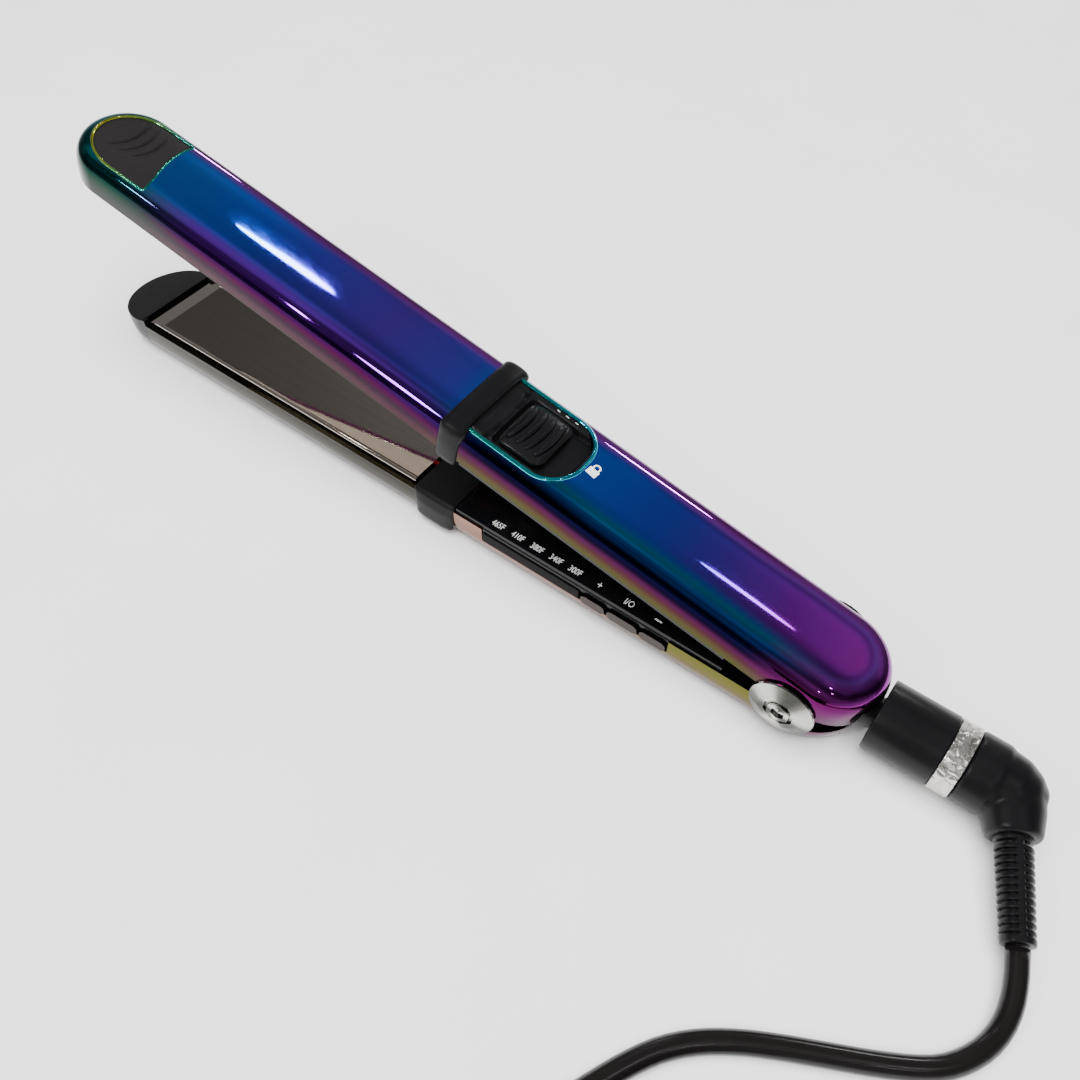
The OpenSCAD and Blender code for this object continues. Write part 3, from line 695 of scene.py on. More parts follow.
def cut(obj, parts):
    """Cuts closed shapes, in the piece's own millimetres, out of obj."""
    for part in parts:
        tool = fix_normals(joined("tool", [part]))
        mod = obj.modifiers.new("cut", "BOOLEAN")
        mod.operation, mod.solver, mod.object = "DIFFERENCE", "EXACT", tool
        applied(obj)
        bpy.data.objects.remove(tool)
    return obj


def shade_arm(obj, place, x0, x1, wall=1.5, half=HALF, high=ARM_H):
    """Stores the film's map on the mesh, gives each corner the rounded surface's own
    direction, and moves the mesh from arm coordinates to the frame."""
    mesh = obj.data
    co = np.array([v.co for v in mesh.vertices]) * 1000
    px = np.clip(co[:, 0], x0, x1)
    out = np.stack([co[:, 0] - px, co[:, 1]], 1)
    rho = np.hypot(out[:, 0], out[:, 1])
    unit = np.where(rho[:, None] > 1e-4, out / np.maximum(rho, 1e-4)[:, None], [[0.0, 0.0]])
    w = np.maximum(co[:, 2], 0)

    def level(a, h):
        return (np.minimum(rho, a * 1.1) / a) ** POWER + (w / h) ** POWER

    def direction(a, h):
        g = np.stack([unit[:, 0] * (np.minimum(rho, a) / a) ** (POWER - 1) / a,
                      unit[:, 1] * (np.minimum(rho, a) / a) ** (POWER - 1) / a,
                      (np.minimum(w, h) / h) ** (POWER - 1) / h], 1)
        return g / np.maximum(np.linalg.norm(g, axis=1), 1e-9)[:, None]

    on_out = np.abs(level(half, high) - 1) < 0.03
    on_in = np.abs(level(half - wall, high - wall) - 1) < 0.03
    dir_out, dir_in = direction(half, high), -direction(half - wall, high - wall)
    # how far round the section: 0 at the top line, 1 at the free edge
    prof = arm_profile(half, high, 400, 0.0)
    run = np.concatenate([[0], np.cumsum(np.linalg.norm(np.diff(prof, axis=0), axis=1))])
    angle = np.arctan2(w / high, rho / half)
    turned = np.interp(angle, np.arctan2(prof[:, 1] / high, prof[:, 0] / half), 1 - run / run[-1])
    for key, v in (("along_arm", co[:, 0]), ("round_arm", turned),
                   ("side_arm", np.clip(co[:, 1] / 6.0, -1, 1))):
        a = mesh.attributes.new(key, "FLOAT", "POINT")
        a.data.foreach_set("value", v.astype(np.float32))
    centre_dir = place(np.zeros(3))
    turn = np.stack([place(np.eye(3)[k]) - centre_dir for k in range(3)], 1)
    corner = []
    for poly in mesh.polygons:
        n = np.array(poly.normal)
        ids = list(poly.vertices)
        kind = 0
        if all(on_out[i] for i in ids) and n @ dir_out[ids[0]] > 0.5:
            kind = 1
        elif all(on_in[i] for i in ids) and n @ dir_in[ids[0]] > 0.5:
            kind = 2
        for i in ids:
            d = n if kind == 0 else (dir_out[i] if kind == 1 else dir_in[i])
            corner.append(turn @ d)
    moved(obj, place)
    if np.linalg.det(turn) < 0:
        mesh.flip_normals()
        fixed = []
        start = 0
        for poly in mesh.polygons:      # turning a face over reverses its corners
            k = poly.loop_total
            block = corner[start:start + k]
            fixed += [block[0]] + block[:0:-1]
            start += k
        corner = fixed
    mesh.update()
    mesh.normals_split_custom_set([tuple(c) for c in corner])
    return obj


print("shell helpers ready")


# %% Outlines of the window and the finger rest
def window_outline(grow=0.0, count=20):
    r, w, x0, x1 = 8.9, 20.8, 1.4, 30.3
    pts = [(x0 - grow, -w / 2 - grow)]
    for a in np.linspace(-math.pi / 2, 0, count):
        pts.append((x1 - r + (r + grow) * math.cos(a), -1.5 + (r + grow) * math.sin(a)))
    for a in np.linspace(0, math.pi / 2, count):
        pts.append((x1 - r + (r + grow) * math.cos(a), 1.5 + (r + grow) * math.sin(a)))
    pts.append((x0 - grow, w / 2 + grow))
    return pts


def rest_rear(y):
    """Where the finger rest ends, an S-shaped line across the arm."""
    return np.interp(y, [-11, -6, -2.8, 2, 6, 11], [-105.6, -106.6, -107.8, -109.0, -109.4, -109.2])


def rest_outline(grow=0.0, count=36):
    half, nose = 10.4, -131.6
    pts = []
    for a in np.linspace(math.pi / 2, 3 * math.pi / 2, count):
        pts.append((nose + 12.4 + (12.4 + grow) * math.cos(a), (half + grow) * math.sin(a)))
    for y in np.linspace(-half - grow, half + grow, 24)[1:-1]:
        pts.append((float(rest_rear(y)) + grow, y))
    pts.insert(count, (float(rest_rear(-half)) + grow, -half - grow))
    pts.append((float(rest_rear(half)) + grow, half + grow))
    return pts


print("window", len(window_outline()), "rest", len(rest_outline()))

# %% Upper shell
UP_X0, UP_X1 = TIP_X + HALF, 103.2
upper_skin = shell_mesh("upper_shell_skin", UP_X0, UP_X1, True)
cut(upper_skin, [prism(window_outline(), 6.0, 20.0), prism(rest_outline(), 6.0, 20.0),
                 box_part(104, 126, -7.5, 7.5, -2, 7)])
shade_arm(upper_skin, upper_place, UP_X0, UP_X1)
settle(upper_skin, film_upper, "upper_arm", "shell_plating", "upper_shell")
print("upper shell", len(upper_skin.data.polygons), "faces")

# %% Lower shell
LOW_X0, LOW_X1 = -116.0, 101.7
lower_skin = shell_mesh("lower_shell_skin", LOW_X0, LOW_X1, False)
neck = tube([(101.7, 0, 3.3), (130, 0, 3.3)], 4.05, 40)
cut(lower_skin, [box_part(12.8, 69.8, -20, -10, -2, 6.5), box_part(97, 125, -20, 20, -2, 5.8), neck])
shade_arm(lower_skin, lower_place, LOW_X0, LOW_X1)
settle(lower_skin, film_lower, "lower_arm", "shell_plating", "lower_shell")
print("lower shell", len(lower_skin.data.polygons), "faces")

# %% [markdown]
# The edges of the window and of the finger rest are rolled, and the roll is what catches
# the light as one bright line. It is a thin bead laid along the outline, at the height
# that the rounded arm has there.

# %% Rolled edges
def bead(name, outline, radius, sink, place, step=0.6, closed=True):
    line = np.array([(x, y, 0.0) for x, y in outline + (outline[:1] if closed else [])])
    run = np.concatenate([[0], np.cumsum(np.linalg.norm(np.diff(line, axis=0), axis=1))])
    want = np.linspace(0, run[-1], int(run[-1] / step))[:-1]
    x, y = np.interp(want, run, line[:, 0]), np.interp(want, run, line[:, 1])
    if closed:
        for _ in range(2):
            x = 0.25 * np.roll(x, 1) + 0.5 * x + 0.25 * np.roll(x, -1)
            y = 0.25 * np.roll(y, 1) + 0.5 * y + 0.25 * np.roll(y, -1)
    px = np.clip(x, UP_X0, UP_X1)
    rho = np.hypot(x - px, y)
    w = arm_height(rho) - sink
    pts, faces = tube(np.stack([x, y, w], 1), radius, 10, closed=closed)
    return fix_normals(mesh_piece(name, place(np.array(pts)), faces))


def lip_finish(name, stops):
    f = Finish(name, Metallic=1.0, Roughness=0.1)
    spot = f.place()
    x, y, z = f.parts(spot)
    wander = f.noise(spot, 0.25, 2.0) - 0.5
    f.into("Base Color", f.ramp((x + y * 0.35 + wander * 4.0 + 137.0) / 170.0, stops))
    f.into("Roughness", 0.07 + f.noise(spot, 1.2, 2.0) * 0.08)
    return f.material


window_film = lip_finish("oxide_film_window_edge", [
    (0.80, (0.02, 0.50, 0.30)), (0.86, (0.0, 0.45, 0.42)), (0.93, (0.02, 0.55, 0.60)),
    (1.0, (0.05, 0.55, 0.75))])
rest_film = lip_finish("oxide_film_rest_edge", [
    (0.0, (0.50, 0.62, 0.05)), (0.06, (0.60, 0.60, 0.06)), (0.12, (0.30, 0.55, 0.10)),
    (0.18, (0.04, 0.45, 0.30)), (0.30, (0.0, 0.35, 0.45))])
window_bead = bead("window_edge", window_outline(0.15), 0.62, 0.30, upper_place, closed=False)
rest_bead = bead("finger_rest_edge", rest_outline(0.1), 0.42, 0.22, upper_place)
settle(window_bead, window_film, "upper_arm", "shell_plating")
settle(rest_bead, rest_film, "upper_arm", "shell_plating")
print("beads", len(window_bead.data.polygons), len(rest_bead.data.polygons))


# %% [markdown]
# The finger rest, the dished bed of the slider and the slider itself are soft mouldings
# with gentle dips and ribs. Each is a grid over its outline whose height is a formula, with
# a skirt turned down at the border, so that it is a closed solid.

# %% Grid mouldings
def moulding(name, rows, cols, spot, height, skirt, place):
    """spot(u, v) gives x, y; height(x, y) the top; skirt how far the sides go down."""
    u, v = np.meshgrid(np.linspace(0, 1, rows), np.linspace(-1, 1, cols), indexing="ij")
    x, y = spot(u, v)
    w = height(x, y, u, v)
    top = np.stack([x, y, w], -1).reshape(-1, 3)
    low = np.stack([x, y, np.minimum(w - 0.4, w.min() - skirt)], -1).reshape(-1, 3)
    n = rows * cols
    faces = []
    for i in range(rows - 1):
        for k in range(cols - 1):
            a, b, c, d = i * cols + k, i * cols + k + 1, (i + 1) * cols + k + 1, (i + 1) * cols + k
            faces += [(a, d, c, b), (n + a, n + b, n + c, n + d)]
    rim = ([(0, k) for k in range(cols)] + [(i, cols - 1) for i in range(1, rows)]
           + [(rows - 1, k) for k in reversed(range(cols - 1))]
           + [(i, 0) for i in reversed(range(1, rows - 1))])
    for (i, k), (j, m) in zip(rim, rim[1:] + rim[:1]):
        a, b = i * cols + k, j * cols + m
        faces.append((a, b, n + b, n + a))
    obj = fix_normals(mesh_piece(name, place(np.vstack([top, low])), faces), merge=0.002)
    obj.data.set_sharp_from_angle(angle=math.radians(50))
    return obj


def dip(distance, width):
    return np.exp(-(distance / width) ** 2)


def rest_spot(u, v):
    y = v * 10.1
    x0 = -131.3 + 12.1 - 12.1 * np.sqrt(np.maximum(0, 1 - np.clip(y / 10.12, -1, 1) ** 2))
    return x0 + (rest_rear(y) - 0.3 - x0) * u, y


def rest_height(x, y, u, v):
    px = np.clip(x, UP_X0, UP_X1)
    w = arm_height(np.hypot(x - px, y)) - 0.35
    w -= 0.5 * dip(np.hypot((x + 120) / 9, y / 7), 1.0)
    for i, x0 in enumerate((-123.8, -120.4, -117.0)):
        line = x - (x0 - 0.05 * (y - 1.0) ** 2 + 1.6 + 0.15 * y)
        ends = 1 / (1 + np.exp((np.abs(y - 1.6) - (6.4 - 0.5 * i)) * 3))
        w = w - 0.75 * dip(line, 0.42) * ends + 0.18 * dip(line - 0.85, 0.4) * ends
    return w


finger_rest = moulding("finger_rest", 90, 70, rest_spot, rest_height, 0.8, upper_place)
settle(finger_rest, matt_grey, "upper_arm", "band_rubber", "tip_insert")
print("finger rest", len(finger_rest.data.polygons), "faces")


# %% Slider bed
def bed_spot(u, v):
    x = 1.6 + (30.1 - 1.6) * np.sin(u * math.pi / 2) ** 0.9
    half = np.where(x < 21.4, 10.25, 1.5 + np.sqrt(np.maximum(0, 8.75 ** 2 - (x - 21.4) ** 2)))
    return x, v * half


def bed_height(x, y, u, v):
    w = arm_height(y) - 0.45
    inside = ease((x - 1.0) / 4.5) * ease((30.0 - x) / 1.8) * ease((10.2 - np.abs(y)) / 1.6)
    w = w - 0.9 * inside
    channel = ease((x - 8.6) / 0.9) * ease((29.3 - x) / 1.2) * ease((8.9 - np.abs(y)) / 0.9)
    w = w - 1.9 * channel
    w = w - 0.8 * dip(x - 7.9 + 0.012 * y * y, 0.45) * (1 - channel)
    w = w - 0.35 * dip(x - 5.2, 2.0) * dip(y, 8.0)
    return w


slider_bed = moulding("slider_bed", 90, 60, bed_spot, bed_height, 1.2, upper_place)
settle(slider_bed, soft_black, "upper_arm", "black_plastic", "slider_saddle")
print("slider bed", len(slider_bed.data.polygons), "faces")


# %% Slider body
def slide_spot(u, v):
    x = 9.9 + 12.6 * (0.5 - 0.5 * np.cos(u * math.pi))
    front, rear = np.clip((x - 9.9) / 1.4, 0, 1), np.clip((22.5 - x) / 3.0, 0, 1)
    half = 8.0 - 1.4 * (1 - np.sqrt(front * (2 - front))) - 2.8 * (1 - np.sqrt(rear * (2 - rear)))
    return x, v * half


def slide_height(x, y, u, v):
    across = np.clip(np.abs(y) / 8.2, 0, 1)
    lengthwise = np.clip(np.abs(x - 16.2) / 6.5, 0, 1)
    crown = 12.25 - 1.9 * (1 - (1 - across ** 3.4) ** 0.5) - 0.9 * lengthwise ** 3
    bow = x + 0.022 * y * y
    crown = crown - 0.55 * dip(bow - 11.4, 0.5) * (1 - across ** 4)
    crown = crown + 0.35 * dip(bow - 22.0, 0.7) * (1 - across ** 4)
    return np.minimum(crown, arm_height(y) + 0.35)


slider = moulding("lock_slider_body", 60, 50, slide_spot, slide_height, 0.6, upper_place)
settle(slider, soft_black, "lock", "black_plastic", "lock_slider")
print("slider body", len(slider.data.polygons), "faces")

# %% [markdown]
# The slider's ribs repeat, so Geometry Nodes set them out: one curved rib as a mesh, points
# on a line, an instance on each point. The number, the pitch and the size are inputs of the
# tree. Instances are made real and get their finish at the end of the tree, and the result
# is kept as a plain mesh.

# %% A tree that repeats a mesh along a line
def repeat_tree(name, finish):
    tree = bpy.data.node_groups.new(name, "GeometryNodeTree")
    face = tree.interface
    face.new_socket("Geometry", in_out="INPUT", socket_type="NodeSocketGeometry")
    for label, kind in (("Count", "NodeSocketInt"), ("Pitch", "NodeSocketVector"),
                        ("Start", "NodeSocketVector"), ("First Size", "NodeSocketFloat"),
                        ("Last Size", "NodeSocketFloat")):
        face.new_socket(label, in_out="INPUT", socket_type=kind)
    face.new_socket("Geometry", in_out="OUTPUT", socket_type="NodeSocketGeometry")
    add, link = tree.nodes.new, tree.links.new
    come, go = add("NodeGroupInput"), add("NodeGroupOutput")
    line = add("GeometryNodeMeshLine")
    line.mode = "OFFSET"
    link(come.outputs["Count"], line.inputs["Count"])
    link(come.outputs["Start"], line.inputs["Start Location"])
    link(come.outputs["Pitch"], line.inputs["Offset"])
    index = add("GeometryNodeInputIndex")
    share = add("ShaderNodeMapRange")
    less = add("ShaderNodeMath")
    less.operation = "SUBTRACT"
    less.inputs[1].default_value = 1.0
    link(come.outputs["Count"], less.inputs[0])
    link(index.outputs[0], share.inputs["Value"])
    link(less.outputs[0], share.inputs["From Max"])
    link(come.outputs["First Size"], share.inputs["To Min"])
    link(come.outputs["Last Size"], share.inputs["To Max"])
    put = add("GeometryNodeInstanceOnPoints")
    link(line.outputs[0], put.inputs["Points"])
    link(come.outputs["Geometry"], put.inputs["Instance"])
    link(share.outputs["Result"], put.inputs["Scale"])
    real, paint = add("GeometryNodeRealizeInstances"), add("GeometryNodeSetMaterial")
    link(put.outputs[0], real.inputs[0])
    link(real.outputs[0], paint.inputs["Geometry"])
    paint.inputs["Material"].default_value = finish
    link(paint.outputs[0], go.inputs[0])
    return tree


def repeat(obj, finish, count, pitch, start=(0, 0, 0), first=1.0, last=1.0):
    """obj's mesh, repeated; sizes in millimetres."""
    tree = repeat_tree("repeat_" + obj.name, finish)
    mod = obj.modifiers.new("repeat", "NODES")
    mod.node_group = tree
    given = {"Count": count, "Pitch": [c / 1000 for c in pitch], "Start": [c / 1000 for c in start],
             "First Size": first, "Last Size": last}
    for item in tree.interface.items_tree:
        if item.in_out == "INPUT" and item.name in given:
            mod[item.identifier] = given[item.name]
    return applied(obj)


# %% Slider ribs
def rib_line():
    y = np.linspace(-6.3, 6.3, 25)
    x = 0.9 - 0.030 * y * y
    w = arm_height(y) - 0.02 - 0.012 * y * y - 0.5 * (np.abs(y) / 6.3) ** 6
    return np.stack([x, y, w - ARM_H], 1)


size_along = 0.78 * np.sqrt(np.clip(1 - (np.linspace(-1, 1, 25) * 0.985) ** 8, 0.05, 1))
rib_pts, rib_faces = tube(rib_line(), size_along, 10, squeeze=1.15)
ribs = fix_normals(mesh_piece("slider_ribs", rib_pts, rib_faces))
repeat(ribs, soft_black, 4, (2.7, 0, 0), (11.6, 0, 0))
moved(ribs, lambda points: upper_place(points + [0, 0, ARM_H]))
settle(ribs, soft_black, "lock", "black_plastic")
print("ribs", len(ribs.data.polygons), "faces")


# %% [markdown]
# A soft grip band crosses each arm between the plates and the handle. It is one sweep of a
# flattened round section along the arm's own profile, thicker at the shoulders, where a
# small nub stands out.

# %% Grip bands
def band_mesh(name, path, out, x_mid, width, thick, place, sides=20, sink=0.5):
    """path and out are points and outward directions in the (y, w) plane."""
    pts = []
    n = len(path)
    for i in range(n):
        wd, th = width[i] / 2, thick[i]
        for k in range(sides):
            a = 2 * math.pi * k / sides
            cx = math.copysign(abs(math.cos(a)) ** 0.75, math.cos(a)) * wd
            cy = math.sin(a)
            h = th * abs(cy) ** 0.8 if cy > 0 else -sink * abs(cy) ** 0.5
            pts.append((x_mid[i] + cx, path[i][0] + out[i][0] * h, path[i][1] + out[i][1] * h))
    return fix_normals(mesh_piece(name, place(np.array(pts)), ring_faces(n, sides, caps=True)))


def over_the_arm(low, count=60):
    """Profile from the near edge over the top to the far edge, with outward directions."""
    p = arm_profile(HALF, ARM_H, count, low)
    path = np.vstack([np.stack([-p[:, 0], p[:, 1]], 1), np.stack([p[::-1, 0], p[::-1, 1]], 1)[1:]])
    d = np.gradient(path, axis=0)
    d /= np.linalg.norm(d, axis=1)[:, None]
    return path, np.stack([-d[:, 1], d[:, 0]], 1)


path, out = over_the_arm(0.25)
corner = np.array([min(np.hypot(abs(a) - 12.6, b - 10.6), 9.0) for a, b in path])
nub = np.exp(-(corner / 1.9) ** 2)
upper_band = band_mesh("upper_band", path, out, np.full(len(path), 0.2), 6.2 + 1.4 * nub,
                       1.0 + 0.75 * nub, upper_place)
settle(upper_band, rubber, "upper_arm", "band_rubber", "upper_grip_band")
print("upper band", len(upper_band.data.polygons), "faces")


# %% Lower band
def clip_path():
    """From the near side, up round the edge, across the joint face and down the far side."""
    side = [(-14.05, w) for w in np.linspace(9.4, 2.0, 12)]
    bend = [(-12.6 - 1.45 * math.cos(a), 1.75 - 1.3 * math.sin(a)) for a in np.linspace(0, math.pi / 2, 8)]
    half = side + bend + [(y, 0.45) for y in np.linspace(-12.4, 0, 8)]
    full = np.array(half + [(-y, w) for y, w in half[::-1][1:]])
    d = np.gradient(full, axis=0)
    d /= np.linalg.norm(d, axis=1)[:, None]
    return full, np.stack([d[:, 1], -d[:, 0]], 1)


path, out = clip_path()
# on the near side, where the path starts, outwards is towards smaller y
if out[3][0] > 0:
    out = -out
side_share = np.clip((path[:, 1] - 1.0) / 3.0, 0, 1)
band_width = 13.4 - 1.2 * np.clip(path[:, 1] / 9, 0, 1)
lower_band = band_mesh("lower_band", path, out, np.full(len(path), -3.1), band_width,
                       0.25 + 0.85 * side_share, lower_place, sink=0.9)
settle(lower_band, rubber, "lower_arm", "band_rubber", "lower_grip_band")
print("lower band", len(lower_band.data.polygons), "faces")


# %% [markdown]
# The nose of the lower arm is a black heat-proof cap with the same rounded form as the
# shell behind it; its joint face falls away in front of the plate. It is drawn as a solid
# arm end and cut. The upper arm's inner nose is hidden in the shell and stays as drawn.

# %% Lower nose
def solid_arm(name, x0, x1, half, high, count=44):
    prof = arm_profile(half, high, count, 0.0)[::-1]
    dome = np.linspace(-math.pi / 2, -3 * math.pi / 2, 40)
    pts = []
    for rho, w in prof:
        rho = max(rho, 0.0)
        bend = [(x0 + rho * math.cos(a), rho * math.sin(a)) for a in dome]
        pts += [(x, y, w) for x, y in [(x1, -rho)] + bend + [(x1, rho)]]
    n = len(dome) + 2
    faces = ring_faces(len(prof), n)
    last = (len(prof) - 1) * n
    faces.append(tuple(last + k for k in range(n)))
    return fix_normals(mesh_piece(name, pts, faces), merge=0.004)


NOSE_X0, NOSE_X1, NOSE_H = -133 + HALF, -115.9, ARM_H - 0.15
lower_nose = solid_arm("lower_nose_cap", NOSE_X0, NOSE_X1, HALF, NOSE_H)
ramp = [(-140, -20, -5), (-140, 20, -5), (-117.2, 20, -5), (-117.2, -20, -5),
        (-140, -20, 4.1), (-140, 20, 4.1), (-117.2, 20, 0.45), (-117.2, -20, 0.45)]
cut(lower_nose, [(ramp, [(0, 1, 2, 3), (4, 7, 6, 5), (0, 4, 5, 1), (1, 5, 6, 2), (2, 6, 7, 3), (3, 7, 4, 0)]),
                 box_part(-117.4, -100, -12.4, 12.4, -2, 3.6)])
shade_arm(lower_nose, lower_place, NOSE_X0, NOSE_X1, wall=5.0, high=NOSE_H)
settle(lower_nose, soft_black, "lower_arm", "black_plastic", "lower_nose")
print("nose", len(lower_nose.data.polygons), "faces")


# %% [markdown]
# Turned pieces: the swivel barrel, its silver ring, the collar and elbow, the bright caps
# on the hinge. Each is a profile spun round its own axis, given as pairs of distance along
# the axis and radius.

# %% Turned pieces
def turned(profile, origin, axis, sides=64):
    axis = np.array(axis, float) / np.linalg.norm(axis)
    side = np.cross(axis, [0, 0, 1.0] if abs(axis[2]) < 0.9 else [1.0, 0, 0])
    side /= np.linalg.norm(side)
    other = np.cross(axis, side)
    pts = []
    for along, r in profile:
        for k in range(sides):
            a = 2 * math.pi * k / sides
            out = math.cos(a) * side + math.sin(a) * other
            pts.append(np.array(origin) + axis * along + max(r, 1e-4) * out)
    return pts, ring_faces(len(profile), sides, caps=True)


def rounded(profile, r=0.4, steps=5):
    """The profile with its inner corners rounded."""
    out = [profile[0]]
    for a, b, c in zip(profile, profile[1:], profile[2:]):
        a, b, c = (np.array(q, float) for q in (a, b, c))
        la, lc = np.linalg.norm(a - b), np.linalg.norm(c - b)
        m = min(r, la * 0.45, lc * 0.45)
        p, q = b + (a - b) / la * m, b + (c - b) / lc * m
        for t in np.linspace(0, 1, steps):
            out.append(tuple((1 - t) ** 2 * p + 2 * t * (1 - t) * b + t * t * q))
    out.append(profile[-1])
    return out


BARREL_Z = 9.1
AXIS = [0, 0, BARREL_Z]
ALONG = (1, 0, 0)
barrel = fix_normals(joined("swivel_barrel_body", [
    turned([(105.5, 2), (105.5, 5), (106.9, 5), (106.9, 3.98), (118.6, 3.98)], AXIS, ALONG),
    turned(rounded([(118.4, 0.0), (118.4, 8.9), (134.6, 8.9), (134.6, 7.0), (134.6, 0.0)], 0.55),
           AXIS, ALONG, 96),
    turned([(134.3, 0), (134.3, 8.1), (139.7, 8.1), (139.7, 0)], AXIS, ALONG)]))
barrel.data.set_sharp_from_angle(angle=math.radians(45))
settle(barrel, barrel_black, "lower_arm", "black_plastic", "swivel_barrel")
ring = fix_normals(joined("swivel_silver_ring", [turned(rounded([
    (134.75, 8.1), (134.75, 8.95), (139.6, 8.95), (139.6, 8.1)], 0.25), AXIS, ALONG, 120)]))
settle(ring, foil_silver, "lower_arm", "silver", "silver_ring")
print("barrel and ring turned")


# %% [markdown]
# The elbow is one soft black moulding in which the collar, the ball and the socket for the
# boot run into each other. Joined shapes are remeshed and smoothed, which makes the fillets
# between them as a mould maker would.

# %% Elbow
BOOT = np.array([14.0, -30.0, -3.6])
BOOT /= np.linalg.norm(BOOT)
BALL = np.array([150.5, 0, BARREL_Z])
elbow = joined("swivel_elbow_body", [
    turned(rounded([(139.75, 0), (139.75, 8.85), (146.4, 8.85), (147.2, 8.3), (151.0, 7.9),
                    (154.6, 6.2), (157.4, 3.6), (158.4, 0.0)], 0.8), AXIS, ALONG, 72),
    turned(rounded([(-2.0, 0.0), (-2.0, 7.2), (5.0, 7.0), (10.3, 6.1), (11.0, 5.3), (11.0, 0.0)],
                   0.8), BALL, BOOT, 64)])
fix_normals(elbow)
mod = elbow.modifiers.new("weld", "REMESH")
mod.mode, mod.voxel_size, mod.use_smooth_shade = "VOXEL", 0.00035, True
applied(elbow)
mod = elbow.modifiers.new("soften", "SMOOTH")
mod.factor, mod.iterations = 0.5, 10
applied(elbow)
set_smooth(elbow, True)
settle(elbow, barrel_black, "swivel", "black_plastic", "swivel_elbow")
print("elbow", len(elbow.data.polygons), "faces")


# %% [markdown]
# The boot bends without kinking because it is cut into ribs, which two spines hold apart.
# The core and the spines are drawn once, and the tree above repeats one rib along the boot,
# a little smaller each time.

# %% Ribbed boot
def on_boot(pts):
    """Points drawn with the boot along x, taken to its slanted place."""
    side = np.cross(BOOT, [0, 0, 1.0])
    side /= np.linalg.norm(side)
    up = np.cross(side, BOOT)
    p = np.asarray(pts, float)
    return BALL + p[:, :1] * BOOT + p[:, 1:2] * side + p[:, 2:3] * up


ORIGIN = [0, 0, 0]
boot_parts = [turned(rounded([(8.0, 0), (8.0, 4.15), (11.8, 4.15), (12.2, 3.1), (31.4, 2.9),
                              (31.6, 3.75), (33.0, 3.65), (33.25, 2.7), (33.25, 0)], 0.25),
                     ORIGIN, ALONG, 40)]
for s in (-1, 1):
    boot_parts.append(tube([(11.5, 0, s * 3.2), (32.0, 0, s * 2.9)], [0.95, 0.85], 12))
boot = fix_normals(moved(joined("boot_core", boot_parts), on_boot))
boot.data.set_sharp_from_angle(angle=math.radians(50))
settle(boot, soft_black, "swivel", "black_plastic", "strain_relief")
rib_profile = rounded([(0, 2.4), (0, 4.1), (0.95, 4.1), (0.95, 2.4)], 0.3)
rib = mesh_piece("boot_ribs", *turned(rib_profile, ORIGIN, ALONG, 36))
repeat(rib, soft_black, 12, (1.57, 0, 0), (12.9, 0, 0), 1.0, 0.91)
fix_normals(moved(rib, on_boot))
rib.data.set_sharp_from_angle(angle=math.radians(60))
settle(rib, soft_black, "swivel", "black_plastic")
print("boot ribs", len(rib.data.polygons), "faces")


# %% [markdown]
# The hinge's bright caps are cut like a stone: eight flat facets round a raised six-sided
# button. Flat facets need flat shading, so the whole cap is shaded flat.

# %% Hinge caps
def corners(r, h, sides, turn):
    """The corners of a polygon of radius r at height h, turned by that many sides."""
    angles = [2 * math.pi * (k + turn) / sides for k in range(sides)]
    return [(r * math.cos(a), r * math.sin(a), h) for a in angles]


def cap_parts(sign):
    """One cap: a round rim, then rings of (radius, height, sides) up to the middle."""
    circle = 32
    rows = [corners(r, h, circle, 2) for r, h in ((8.1, 0.0), (8.2, 0.35), (8.05, 0.75))]
    facets = ((5.6, 1.75, 8), (3.9, 1.95, 8), (3.7, 1.45, 8),
              (3.3, 1.45, 6), (3.1, 2.15, 6), (1.8, 2.25, 6),
              (1.6, 1.7, 8), (0.9, 1.75, 8), (0.001, 1.9, 8))
    for r, h, sides in facets:
        base = corners(r, h, sides, 0.5)
        row = []
        for k in range(circle):
            t = (k + 2) / circle * len(base) - 0.5
            i, u = int(math.floor(t)) % len(base), t - math.floor(t)
            a, b = np.array(base[i]), np.array(base[(i + 1) % len(base)])
            row.append(tuple(a * (1 - u) + b * u))
        rows.append(row)
    pts = [p for row in rows for p in row]
    place = [(HINGE[0] + x, sign * (HALF + 0.1 + h), HINGE[2] + y) for x, y, h in pts]
    return place, ring_faces(len(rows), circle, caps=True)


caps = fix_normals(joined("hinge_caps", [cap_parts(-1), cap_parts(1)]))
set_smooth(caps, False)
settle(caps, chrome, "lower_arm", "chrome", "hinge_medallions")
print("caps", len(caps.data.polygons), "faces")

# %% [markdown]
# The spring that pushes the arms apart stands in front of the hinge pin. Its wire is a
# helix, given its thickness as the cord is. When the arms close, its upper end comes down
# and its turns draw together.

# %% Opening spring
def spring_line(turns=6.5, radius=2.4, z0=6.0, z1=16.6):
    t = np.linspace(0, 1, int(turns * 28))
    lift = z0 + (z1 - z0) * (0.06 * np.minimum(1, t / 0.1) + 0.94 * t)
    a = 2 * math.pi * turns * t
    return np.stack([87.5 + radius * np.cos(a), radius * np.sin(a), np.minimum(lift, z1)], 1)


spring = fix_normals(mesh_piece("spring_wire", *tube(spring_line(), 0.42, 10)))
settle(spring, steel, "lower_arm", "steel", "opening_spring")
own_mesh(spring)
print("spring", len(spring.data.polygons), "faces")


# %% [markdown]
# The control side: five heat lamps behind a smoked lens, three satin keys, and the white
# printing on the black cover. The printing is only the temperatures, plus, minus and the
# on-off sign, and by the slider a small padlock. Letters are made from a text object, turned
# into a mesh before they are put in place, so that their place is in the mesh.

